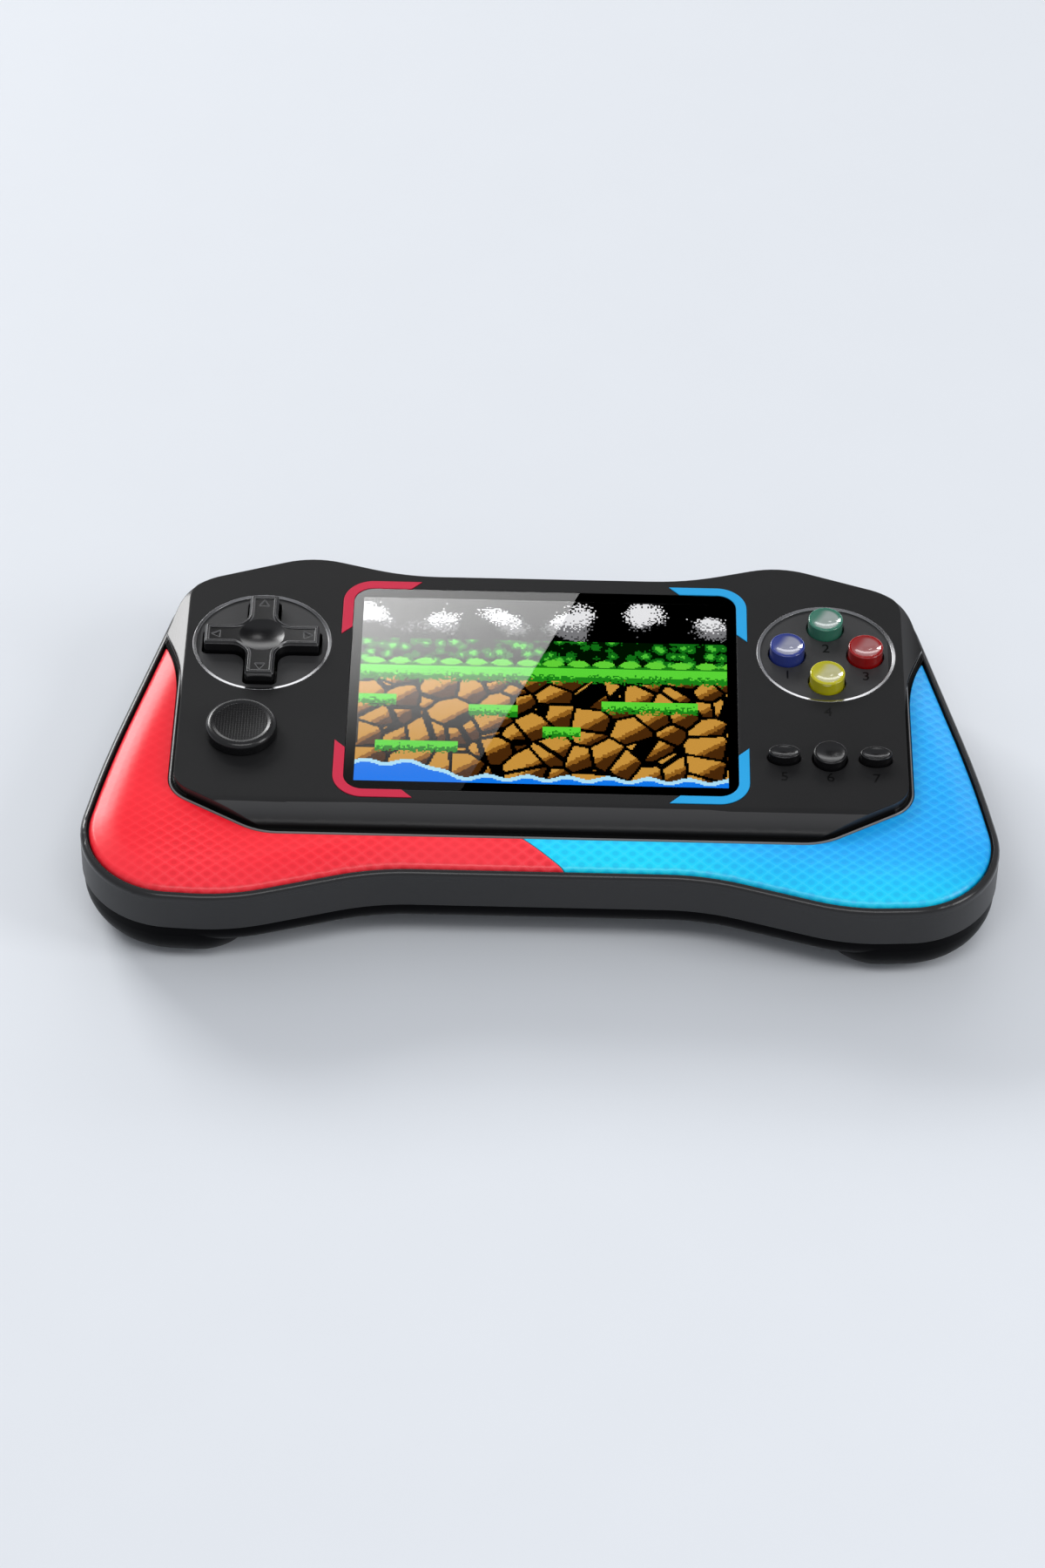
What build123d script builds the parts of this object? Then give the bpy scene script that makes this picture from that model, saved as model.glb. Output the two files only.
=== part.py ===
"""Handheld game console: a moulded body with two grips, a screen and its controls.

Millimetres, +Z up, lying on its back. The origin is on the table, under the middle of
the body's outline. Plan drawings are made on level(), whose own origin is over the
middle of the lens.
"""

from build123d import *
import math
import os

os.makedirs("parts", exist_ok=True)

# Overall sizes, and the gaps that the fits share
BODY_WIDTH = 170.7
BODY_DEPTH = 90.5
CUT = 60.0
SEAT_GAP = 0.1
FIT_GAP = 0.05
SLIDE_GAP = 0.3
LEAST_EDGE = 0.001
QUARTER_TURN = 90

# Outline of the body from above, right half, from the far middle round to the near
# middle. x is a share of half the width. y is a share of the depth, measured from the
# middle of the lens. A rounding share says how much of the shorter side next to a
# corner its fillet takes up.
OUTLINE_SHARES = [
    (0.0, 0.3613),
    (0.3175, 0.3613),
    (0.5331, 0.4188),
    (0.8272, 0.3215),
    (0.9701, -0.2066),
    (1.0369, -0.5757),
    (0.6667, -0.5945),
    (0.3562, -0.5083),
    (0.0, -0.5083),
]
OUTLINE_ROUNDING_SHARES = [0.3373, 0.319, 0.2825, 0.353, 0.6389, 0.2475, 0.255]

# Outline of the face plate's foot, and of the sloped wings at its far corners
PLATE_SHARES = [
    (0.0, -0.4155),
    (0.613, -0.4155),
    (0.8166, -0.3028),
    (0.8166, 0.06),
    (1.0, 0.514),
    (1.0, 0.62),
    (0.0, 0.62),
]
PLATE_ROUNDING_SHARES = [0.1831, 0.1929, 0.2, 0.0, 0.0]
WING_SHARES = [
    (0.70, -0.13),
    (0.8, -0.13),
    (0.811, 0.065),
    (1.0, 0.545),
    (1.0, 0.62),
    (0.70, 0.62),
]
WING_ROUNDING_SHARES = [0.0, 0.0, 0.3, 0.0, 0.0, 0.0]
WING_ROOT_SHARES = [
    (0.58, -0.22),
    (0.805, -0.22),
    (0.805, 0.3),
    (0.53, 0.395),
    (0.35, 0.1),
    (0.35, -0.22),
]
WING_ROOT_ROUNDING_SHARES = [0.0, 0.0, 0.1265, 0.0, 0.0, 0.0]
FACE_SIDE_SHARE = 0.805
FACE_CORNER_RADIUS = 4.5

# Outline of a grip lobe under the body, right side
LOBE_SHARES = [
    (0.645, 0.135),
    (0.8715, 0.155),
    (0.9701, -0.2066),
    (1.0369, -0.5757),
    (0.586, -0.5985),
]
LOBE_ROUNDING_SHARES = [0.4326, 0.3777, 0.3622, 0.5967, 0.3555]

# Walls and the stack of heights, from the table up
WALL = 2.0
REAR_INSET = 0.3
BELLY_HEIGHT = 5.3
REAR_WALL_HEIGHT = 5.2
BELLY_FILLET = 4.0
LOBE_FILLET_SHARE = 0.93
DOOR_THICKNESS = 1.6
BATTERY_WIDTH_SHARE = 0.3105
BATTERY_THICKNESS = 5.6
BAY_CEILING = 0.8
BAY_WALL = 1.2
BOARD_GAP = 0.4
BOARD_THICKNESS = 1.6
DECK_THICKNESS = 1.6
FACE_ABOVE_DECK = 5.1
FACE_THICKNESS = 2.0
RIM_DROP = 3.5
RIM_WIDTH = 1.3
RIM_FILLET = 1.0
PANEL_GAP = 0.3

PARTING_HEIGHT = BELLY_HEIGHT + REAR_WALL_HEIGHT
BELLY_FLOOR = BELLY_HEIGHT + WALL
BATTERY_BOTTOM = BELLY_HEIGHT + DOOR_THICKNESS + SEAT_GAP
BAY_TOP = BATTERY_BOTTOM + BATTERY_THICKNESS + SEAT_GAP
BOARD_BOTTOM = BAY_TOP + BAY_CEILING + BOARD_GAP
BOARD_TOP = BOARD_BOTTOM + BOARD_THICKNESS
DECK_TOP = BOARD_TOP + DECK_THICKNESS
FACE_HEIGHT = DECK_TOP + FACE_ABOVE_DECK
FACE_UNDERSIDE = FACE_HEIGHT - FACE_THICKNESS
RIM_TOP = FACE_HEIGHT - RIM_DROP

# Screen
LENS_WIDTH_SHARE = 0.43234
LENS_DEPTH_SHARE = 0.60994
LENS_THICKNESS = 0.8
LENS_RADIUS = 3.75
TAPE_THICKNESS = 0.1
SIDE_BORDER = 1.85
END_BORDER = 2.3
PICTURE_SHIFT = 0.35
LEDGE_THICKNESS = 0.6
DISPLAY_SIDE_MARGIN = 1.55
DISPLAY_END_MARGIN = 1.4
DISPLAY_THICKNESS = 3.2
DISPLAY_SHIFT = -0.8
ACCENT_WIDTH = 2.0
ACCENT_THICKNESS = 0.6
ACCENT_REACH = 15.0
ACCENT_RISE = 0.1
ACCENT_RADIUS = 5.8

LENS_WIDTH = LENS_WIDTH_SHARE * BODY_WIDTH
LENS_DEPTH = LENS_DEPTH_SHARE * BODY_DEPTH
PICTURE_WIDTH = LENS_WIDTH - 2 * SIDE_BORDER
PICTURE_DEPTH = LENS_DEPTH - 2 * END_BORDER
DISPLAY_WIDTH = LENS_WIDTH + 2 * DISPLAY_SIDE_MARGIN
DISPLAY_DEPTH = LENS_DEPTH + 2 * DISPLAY_END_MARGIN

# Places of the controls, as shares of half the width and of the depth
DPAD_SHARE = (-0.634, 0.1304)
CLUSTER_SHARE = (0.634, 0.1304)
STICK_SHARE = (-0.6632, -0.1447)
FUNCTION_SHARE = (0.634, -0.188)
RING_RADIUS = 13.35
RING_BEVEL = 0.7
RING_DEPTH = 0.35

# Direction pad, its pivot ball and the rubber mat under it
DPAD_SPAN = 22.0
DPAD_ARM_WIDTH = 5.5
DPAD_RISE = 2.3
DPAD_CORNER = 3.0
DPAD_TIP_RADIUS = 0.5
DPAD_BEVEL = 0.45
DPAD_CLEARANCE = 0.5
DPAD_BEAD = 0.85
DPAD_PANEL_DEPTH = 0.3
DPAD_DISH_RADIUS = 16.0
DPAD_DISH_DEPTH = 0.9
DPAD_FLANGE_RADIUS = 10.4
DPAD_FLANGE = 0.8
DPAD_ROCK_ROOM = 1.4
DPAD_POST_RADIUS = 1.6
DPAD_POST_LENGTH = 0.5
DPAD_POST_CIRCLE_RADIUS = 7.5
ARROW_RADIUS = 1.1
ARROW_DEPTH = 0.25
ARROW_CIRCLE_RADIUS = 8.6
BALL_RADIUS = 2.4
BALL_GAP = 0.08
MAT_THICKNESS = 0.6
DOME_RISE = 0.7
DOME_FOOT_RADIUS = 3.0
DOME_TOP_RADIUS = 2.1
MAT_MARGIN = 0.4

# Sliding thumb pad
STICK_RADIUS = 6.7
STICK_RISE = 2.8
STICK_SKIRT_GAP = 0.3
STICK_RIM = 1.15
STICK_DISH = 0.8
STICK_NECK_RADIUS = 2.0
STICK_FOOT_RADIUS = 3.3
STICK_FOOT_THICKNESS = 0.6
STICK_TRAVEL = 1.5
STICK_HOUSING_SIZE = 13.6
STICK_HOUSING_WALL = 0.8
CARRIAGE_THICKNESS = 1.2
STICK_PLAY = 0.1
STICK_OPENING_GAP = 0.4
STICK_COVER = 0.5
STICK_EDGE_FILLET = 1.0

# Round buttons and the three small function buttons
BUTTON_RADIUS = 3.35
BUTTON_RISE = 2.25
BUTTON_CIRCLE_RADIUS = 7.5
BUTTON_DISH = 0.7
BUTTON_RIM = 0.45
BUTTON_TRAVEL = 1.2
BUTTON_FLANGE = 0.8
BUTTON_FLANGE_WIDTH = 0.8
BUTTON_EDGE_FILLET = 0.25
DOME_GAP = 0.15
FUNCTION_PITCH = 8.6
FUNCTION_RADIUS = 3.1
FUNCTION_LENGTH = 5.9
FUNCTION_WIDTH = 3.7
FUNCTION_RISE = 1.9
FUNCTION_DISH = 0.45
FUNCTION_TRAVEL = 0.7
FUNCTION_FLANGE_WIDTH = 0.6
FUNCTION_EDGE_FILLET = 0.2

# Screws
BELLY_SCREW_SHARES = [
    (0.3515, 0.2818),
    (0.3867, -0.3867),
]
LOBE_SCREW_SHARES = [
    (0.791, -0.0221),
]
SCREW_RADIUS = 1.0
SCREW_LENGTH = 8.0
SCREW_HEAD_RADIUS = 1.9
SCREW_HEAD = 1.2
SCREW_SOCKET_DEPTH = 0.6
SCREW_SEAT_RISE = 1.6
BOSS_RADIUS = 2.8
BOARD_SCREW_SHARES = [
    (0.422, -0.1105),
    (0.422, 0.19),
]
BOARD_SCREW_RADIUS = 0.8
BOARD_SCREW_LENGTH = 2.9
BOARD_SCREW_HEAD_RADIUS = 1.5
BOARD_SCREW_HEAD = 0.9

# Far wall: sockets, volume wheel and power switch, placed along x as shares of half
# the width
JACK_SHARE = -0.2285
USB_SHARE = -0.0879
WHEEL_SHARE = 0.0644
SWITCH_SHARE = 0.2226
JACK_BORE_RADIUS = 1.8
JACK_BORE_DEPTH = 14.0
JACK_NOSE_RADIUS = 2.5
JACK_WIDTH = 6.0
JACK_DEPTH = 13.4
JACK_HEIGHT = 4.8
JACK_HOLE_GAP = 0.3
USB_WIDTH = 9.0
USB_DEPTH = 7.3
USB_HEIGHT = 3.2
USB_WALL = 0.35
USB_RADIUS = 1.5
USB_MOUTH_DEPTH = 6.2
USB_TONGUE_WIDTH = 6.6
USB_TONGUE = 0.7
USB_TONGUE_LENGTH = 4.4
USB_RECESS = 0.4
WHEEL_RADIUS = 6.0
WHEEL_THICKNESS = 2.0
WHEEL_PROUD = 0.9
WHEEL_RIBS = 30
WHEEL_RIB_RADIUS = 0.3
WHEEL_BRACKET = 0.8
WHEEL_BRACKET_SIZE = 9.0
WHEEL_PIN_RADIUS = 1.0
WHEEL_CAP_RADIUS = 1.8
WHEEL_CAP = 0.45
SWITCH_WIDTH = 8.6
SWITCH_DEPTH = 3.9
SWITCH_HEIGHT = 3.4
SWITCH_TRAVEL = 2.5
KNOB_TAB_WIDTH = 3.8
KNOB_TAB_HEIGHT = 2.0
KNOB_PROUD = 0.6
KNOB_RIB = 0.3
KNOB_RIBS = 4
KNOB_TAB_FILLET = 0.4
KNOB_STEM = 1.2
KNOB_STEM_LENGTH = 1.7
SHUTTER_WIDTH = 9.6
SHUTTER_HEIGHT = 2.8
SHUTTER_THICKNESS = 0.5


def at_share(x_share: float, y_share: float) -> tuple[float, float]:
    """A point of the plan, from its shares of the body's half width and depth."""
    return (x_share * BODY_WIDTH / 2, y_share * BODY_DEPTH)


def corner_radii(points: list, rounding_shares: list, first_corner: int) -> list:
    """The fillet radii of the corners that follow one another from first_corner on."""
    radii = []
    for step, share in enumerate(rounding_shares, start=first_corner):
        corner = Vector(points[step])
        before = Vector(points[step - 1]) - corner
        after = Vector(points[(step + 1) % len(points)]) - corner
        half_opening = math.radians(before.get_angle(after)) / 2
        radii.append(share * min(before.length, after.length) * math.tan(half_opening))
    return radii


def half_outline(point_shares: list, rounding_shares: list, inset: float = 0.0) -> Sketch:
    """A face mirrored about the middle line, from its right half, drawn in by inset."""
    points = [at_share(*share) for share in point_shares]
    with BuildSketch() as drawing:
        with BuildLine():
            FilletPolyline(*points, radius=corner_radii(points, rounding_shares, 1))
            mirror(about=Plane.YZ)
        make_face()
        if inset:
            offset(amount=-inset)
    return drawing.sketch


def side_outlines(point_shares: list, rounding_shares: list, inset: float = 0.0) -> Sketch:
    """A closed outline on the right side and its mirror image on the left."""
    points = [at_share(*share) for share in point_shares]
    radii = corner_radii(points, rounding_shares, 0)
    with BuildSketch() as drawing:
        with BuildLine():
            FilletPolyline(*points, radius=radii, close=True)
        make_face()
        if inset:
            offset(amount=-inset)
    # An inset can leave an edge of no length, and no fillet would pass it
    edges = [edge for edge in drawing.edges() if edge.length > LEAST_EDGE]
    right_side = Sketch() + Face(Wire(edges))
    return right_side + mirror(right_side, about=Plane.YZ)


def body_inset(inset: float) -> Sketch:
    """The body outline drawn in by inset."""
    return half_outline(OUTLINE_SHARES, OUTLINE_ROUNDING_SHARES, inset)


def mirrored_places(shares: list) -> list:
    """Places on the right side and their mirror images on the left."""
    return [at_share(side * x_share, y_share) for x_share, y_share in shares for side in (-1, 1)]


outline_box = body_inset(0).bounding_box()
LENS_Y = -(outline_box.min.Y + outline_box.max.Y) / 2
FAR_WALL_Y = OUTLINE_SHARES[0][1] * BODY_DEPTH
FAR_WALL_INSIDE_Y = FAR_WALL_Y - WALL


def level(height: float) -> Plane:
    """The horizontal plane at a height, with its origin over the middle of the lens."""
    return Plane(origin=(0, LENS_Y, height))


def raised(place: tuple[float, float], height: float) -> Plane:
    """The horizontal plane at a height, with its origin over a place of the plan."""
    return Plane(origin=(place[0], place[1] + LENS_Y, height))


def upright(x: float) -> Plane:
    """The plane across the body at x: its own x runs away from the player, its y up."""
    return Plane(origin=(x, LENS_Y, 0), x_dir=(0, 1, 0), z_dir=(1, 0, 0))


def facing(y: float) -> Plane:
    """The plane along the body at y, seen from the far side: its y is up."""
    return Plane(origin=(0, LENS_Y + y, 0), x_dir=(-1, 0, 0), z_dir=(0, 1, 0))


def dish_radius(half_width: float, depth: float) -> float:
    """The radius of a ball that presses a dish of this half width and depth."""
    return (half_width**2 + depth**2) / (2 * depth)


def save(builder: BuildPart, label: str) -> None:
    """Label a finished piece and write its file."""
    builder.part.label = label
    export_step(builder.part, f"parts/{label}.step")


# The lobes' lower edges round off a little less than their tightest corner does
lobe_corners = [at_share(*share) for share in LOBE_SHARES]
LOBE_FILLET = LOBE_FILLET_SHARE * min(corner_radii(lobe_corners, LOBE_ROUNDING_SHARES, 0))
LOBE_HOLLOW_FILLET = LOBE_FILLET - WALL

JACK_X, USB_X, WHEEL_X, SWITCH_X = [
    share * BODY_WIDTH / 2 for share in (JACK_SHARE, USB_SHARE, WHEEL_SHARE, SWITCH_SHARE)
]
dpad_place = at_share(*DPAD_SHARE)
cluster_place = at_share(*CLUSTER_SHARE)
stick_place = at_share(*STICK_SHARE)
function_place = at_share(*FUNCTION_SHARE)
belly_screw_places = mirrored_places(BELLY_SCREW_SHARES)
lobe_screw_places = mirrored_places(LOBE_SCREW_SHARES)
screw_places = belly_screw_places + lobe_screw_places
board_screw_places = mirrored_places(BOARD_SCREW_SHARES)

# The two shells
BAY_PLAY = 0.6
BAY_NEAR_SHARE = -0.2276
JACK_ROOM = 1.2
LIP_ROOT = 1.5
LIP_RISE = 1.5
LIP_THICKNESS = 1.2
PORT_SPAN = 52.0
PORT_DEPTH = 9.0
SCREW_TUBE_WALL = 1.3
SCREW_HEAD_GAP = 0.3
SCREW_TUBE_FOOT = 2.0
SPEAKER_DEPTH_SHARE = 0.1326
SPEAKER_ROOM = 1.9
SPEAKER_RADIUS = 10.0
SPEAKER_HEIGHT = 4.6
SPEAKER_SEAT = 0.3
SPEAKER_RIB = 1.0
SPEAKER_RIB_HEIGHT = 2.5
SPEAKER_RIM = 1.0
SPEAKER_CONE_DEPTH = 2.0
SPEAKER_CONE_SLOPE = 60.0
SPEAKER_FILLET = 0.8
BATTERY_FILLET = 1.5
GRILLE_SLOT = 1.2
GRILLE_LENGTH = 11.0
GRILLE_PITCH = 2.6
GRILLE_SLOTS = 5
DOOR_MARGIN = 2.4
DOOR_GAP = 0.2
DOOR_PIN_RADIUS = 0.5
DOOR_PIN_LENGTH = 1.6
DOOR_GRIP_RADIUS = 5.0
DOOR_GRIP_DEPTH = 0.6
DOOR_GRIP_INSET = 8.0
DOOR_RIB_HEIGHT = 0.5
CONTACT_PITCH = 4.0
CONTACT_WIDTH = 1.8
CONTACT_STRIP = 0.25
CONTACT_SLOT_WIDTH = 12.0
CONTACT_SLOT_DEPTH = 5.0
CONTACT_Y = 8.0
CONTACT_REACH = 3.0

# Circuit board and what stands on it
BOARD_WIDTH_SHARE = 0.7791
BOARD_NEAR_SHARE = -0.2796
BOARD_FAR_SHARE = 0.2718
BOARD_CORNER = 3.0
BOSS_CLEARANCE = 0.5
CHIP_SIZE = 13.0
CHIP_THICKNESS = 1.3
CHIP_CORNER = 0.4
CHIP_SHARE = (-0.5155, 0.0442)
MEMORY_WIDTH = 9.0
MEMORY_DEPTH = 12.0
MEMORY_SHARE = (-0.5155, -0.1436)
RIBBON_WIDTH = 14.0
RIBBON_THICKNESS = 0.15
RIBBON_IN_SOCKET = 1.4
RIBBON_RAMP = 3.1
RIBBON_ON_DISPLAY = 10.5
CONNECTOR_WIDTH = 17.0
CONNECTOR_DEPTH = 4.0
CONNECTOR_HEIGHT = 1.3
CONNECTOR_SHARE = -0.2409
CONNECTOR_SLOT = 0.4
SOCKET_DEPTH = 1.2
DECK_SLOT_WIDTH = 19.0
DECK_SLOT_DEPTH = 9.0
DECK_SLOT_SHIFT = 1.8

# Face plate and grip panels
LIP_WIDTH = 1.0
LIP_DROP = 1.9
LIP_FILLET = 0.4
FALL_LENGTH = 5.9
FALL_MARGIN = 1.5
WING_DROP = 3.1
WING_SLOPE = 66.0
PLATE_WALL = 2.2
POCKET_SETBACK = 1.2
WINDOW_MARGIN = 0.4
POCKET_MARGIN = 0.2
PANEL_SEAM = 0.15
PANEL_HEIGHT = 3.0
CROWN_DROP = 1.2
CROWN_WIDTH = 4.5
CROWN_TOP_FILLET = 16.0
CROWN_LOW_FILLET = 1.4
SEAM_SHARE = (-0.001, -0.4457)
SEAM_ANGLE = -40.3

# Plan drawings that several pieces share
MAT_RADIUS = RING_RADIUS - RING_BEVEL - MAT_MARGIN
FLANGE_TOP = FACE_UNDERSIDE - SEAT_GAP
FLANGE_BOTTOM = FLANGE_TOP - BUTTON_FLANGE
BALL_HEIGHT = BOARD_TOP + FIT_GAP + BALL_RADIUS
BATTERY_WIDTH = BATTERY_WIDTH_SHARE * BODY_WIDTH
BAY_WIDTH = BATTERY_WIDTH + 2 * BAY_PLAY
BAY_NEAR_Y = BAY_NEAR_SHARE * BODY_DEPTH
BAY_FAR_Y = FAR_WALL_INSIDE_Y - SLIDE_GAP - JACK_DEPTH - JACK_ROOM - BAY_WALL
BAY_Y = (BAY_NEAR_Y + BAY_FAR_Y) / 2
BAY_DEPTH = BAY_FAR_Y - BAY_NEAR_Y
BATTERY_DEPTH = BAY_DEPTH - 2 * BAY_PLAY
DOOR_WIDTH = BAY_WIDTH + 2 * DOOR_MARGIN
DOOR_DEPTH = BAY_DEPTH + 2 * DOOR_MARGIN
LENS_BOTTOM = FACE_HEIGHT - LENS_THICKNESS
RECESS_BOTTOM = LENS_BOTTOM - TAPE_THICKNESS
DISPLAY_TOP = RECESS_BOTTOM - LEDGE_THICKNESS
LIP_TOP = FACE_HEIGHT - LIP_DROP
PLATE_NEAR_Y = PLATE_SHARES[0][1] * BODY_DEPTH
FALL_END_Y = PLATE_NEAR_Y + FALL_MARGIN
FALL_START_Y = FALL_END_Y + FALL_LENGTH
CONNECTOR_Y = CONNECTOR_SHARE * BODY_DEPTH
BOARD_WIDTH = BOARD_WIDTH_SHARE * BODY_WIDTH
BOARD_NEAR_Y = BOARD_NEAR_SHARE * BODY_DEPTH
BOARD_FAR_Y = BOARD_FAR_SHARE * BODY_DEPTH
speaker_rib_radius = SPEAKER_RADIUS + SPEAKER_SEAT + SPEAKER_RIB
speaker_x = BAY_WIDTH / 2 + BAY_WALL + SPEAKER_ROOM + speaker_rib_radius
speaker_place = (speaker_x, SPEAKER_DEPTH_SHARE * BODY_DEPTH)

body_outline = body_inset(0)
rear_outline = body_inset(REAR_INSET)
rear_cavity = body_inset(REAR_INSET + WALL)
front_cavity = body_inset(WALL)
recess_outline = body_inset(RIM_WIDTH - SEAT_GAP)
plate_limit = body_inset(RIM_WIDTH)
panel_limit = body_inset(RIM_WIDTH + PANEL_GAP)
lip_ring = body_inset(WALL + SLIDE_GAP) - body_inset(WALL + SLIDE_GAP + LIP_THICKNESS)
lobe_outline = side_outlines(LOBE_SHARES, LOBE_ROUNDING_SHARES, REAR_INSET)
lobe_hollow_outline = side_outlines(LOBE_SHARES, LOBE_ROUNDING_SHARES, REAR_INSET + WALL)
plate_outline = half_outline(PLATE_SHARES, PLATE_ROUNDING_SHARES)
plate_foot = plate_outline & plate_limit
plate_lip = plate_foot & Rectangle(PLATE_SHARES[2][0] * BODY_WIDTH, 2 * BODY_DEPTH)
face_width = FACE_SIDE_SHARE * BODY_WIDTH
face_square = half_outline(PLATE_SHARES, PLATE_ROUNDING_SHARES, LIP_WIDTH) & plate_limit
face_square = face_square & Rectangle(face_width, 2 * BODY_DEPTH)
wing_roots = side_outlines(WING_ROOT_SHARES, WING_ROOT_ROUNDING_SHARES)
wing_area = side_outlines(WING_SHARES, WING_ROUNDING_SHARES) & plate_limit
panel_area = panel_limit - half_outline(PLATE_SHARES, PLATE_ROUNDING_SHARES, -PANEL_SEAM)

with BuildSketch() as face_drawing:
    add(face_square)
    for edge_side in (0, -1):
        far_corner = face_drawing.vertices().group_by(Axis.X)[edge_side].sort_by(Axis.Y)[-1]
        fillet(far_corner, radius=FACE_CORNER_RADIUS)
face_plan = face_drawing.sketch

with BuildSketch() as pocket_drawing:
    add(face_plan)
    offset(amount=-PLATE_WALL)
    with Locations((0, FALL_START_Y + POCKET_SETBACK)):
        Rectangle(BODY_WIDTH, BODY_DEPTH, align=(Align.CENTER, Align.MIN), mode=Mode.INTERSECT)
plate_pocket = pocket_drawing.sketch

with BuildSketch() as cross_drawing:
    Rectangle(DPAD_SPAN, DPAD_ARM_WIDTH)
    Rectangle(DPAD_ARM_WIDTH, DPAD_SPAN)
    centre_out = cross_drawing.vertices().sort_by(lambda corner: corner.center().length)
    fillet(centre_out[:4], radius=DPAD_CORNER)
cross_square = cross_drawing.sketch

with BuildSketch() as tip_drawing:
    add(cross_square)
    centre_out = tip_drawing.vertices().sort_by(lambda corner: corner.center().length)
    fillet(centre_out[-8:], radius=DPAD_TIP_RADIUS)
cross_outline = tip_drawing.sketch

with BuildSketch() as cross_hole_drawing:
    add(cross_outline)
    offset(amount=DPAD_CLEARANCE)
cross_hole = cross_hole_drawing.sketch

accent_x = LENS_WIDTH / 2 + SEAT_GAP + ACCENT_WIDTH
accent_y = LENS_DEPTH / 2 + SEAT_GAP + ACCENT_WIDTH
with BuildSketch() as accent_drawing:
    with BuildLine():
        Polyline(
            (accent_x - ACCENT_REACH, accent_y),
            (accent_x, accent_y),
            (accent_x, accent_y - ACCENT_REACH),
            (accent_x - ACCENT_WIDTH, accent_y - ACCENT_REACH + ACCENT_WIDTH),
            (accent_x - ACCENT_REACH + ACCENT_WIDTH, accent_y - ACCENT_WIDTH),
            close=True,
        )
    make_face()
    mirror(about=Plane.XZ)
    RectangleRounded(2 * accent_x, 2 * accent_y, ACCENT_RADIUS, mode=Mode.INTERSECT)
    RectangleRounded(
        LENS_WIDTH + 2 * SEAT_GAP, LENS_DEPTH + 2 * SEAT_GAP, LENS_RADIUS, mode=Mode.SUBTRACT
    )
right_accents = accent_drawing.sketch
left_accents = mirror(right_accents, about=Plane.YZ)


def seam_side(side: int) -> Sketch:
    """The panels' plan on one side of the slanted seam: -1 left, 1 right."""
    reach = 2 * BODY_WIDTH
    seam = Pos(*at_share(*SEAM_SHARE)) * Rot(0, 0, SEAM_ANGLE)
    half_plane = Pos(0, side * (reach + PANEL_SEAM) / 2) * Rectangle(reach, reach)
    return panel_area & (seam * half_plane)


left_panel_area = seam_side(-1)
right_panel_area = seam_side(1)

stick_diagonal = math.hypot(STICK_TRAVEL, STICK_TRAVEL)
stick_opening_radius = STICK_NECK_RADIUS + stick_diagonal + STICK_OPENING_GAP

# Rear shell: a flat belly and two grip lobes, hollow, with the battery bay inside
with BuildPart() as lobes:
    with BuildSketch(level(PARTING_HEIGHT)):
        add(lobe_outline)
    extrude(amount=-PARTING_HEIGHT)
    fillet(lobes.edges().group_by(Axis.Z)[0], radius=LOBE_FILLET)

with BuildPart() as lobe_hollows:
    with BuildSketch(level(PARTING_HEIGHT)):
        add(lobe_hollow_outline)
    extrude(amount=WALL - PARTING_HEIGHT)
    fillet(lobe_hollows.edges().group_by(Axis.Z)[0], radius=LOBE_HOLLOW_FILLET)

screw_seat = BELLY_HEIGHT + SCREW_SEAT_RISE
screw_tube_radius = SCREW_HEAD_RADIUS + SCREW_HEAD_GAP + SCREW_TUBE_WALL
door_pin_height = BELLY_HEIGHT + (DOOR_THICKNESS - SEAT_GAP) / 2
door_near = BAY_Y - DOOR_DEPTH / 2
door_pin_y = door_near + DOOR_GAP + (DOOR_THICKNESS - SEAT_GAP) / 2
jack_axis_height = BOARD_BOTTOM - JACK_HEIGHT / 2

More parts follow.
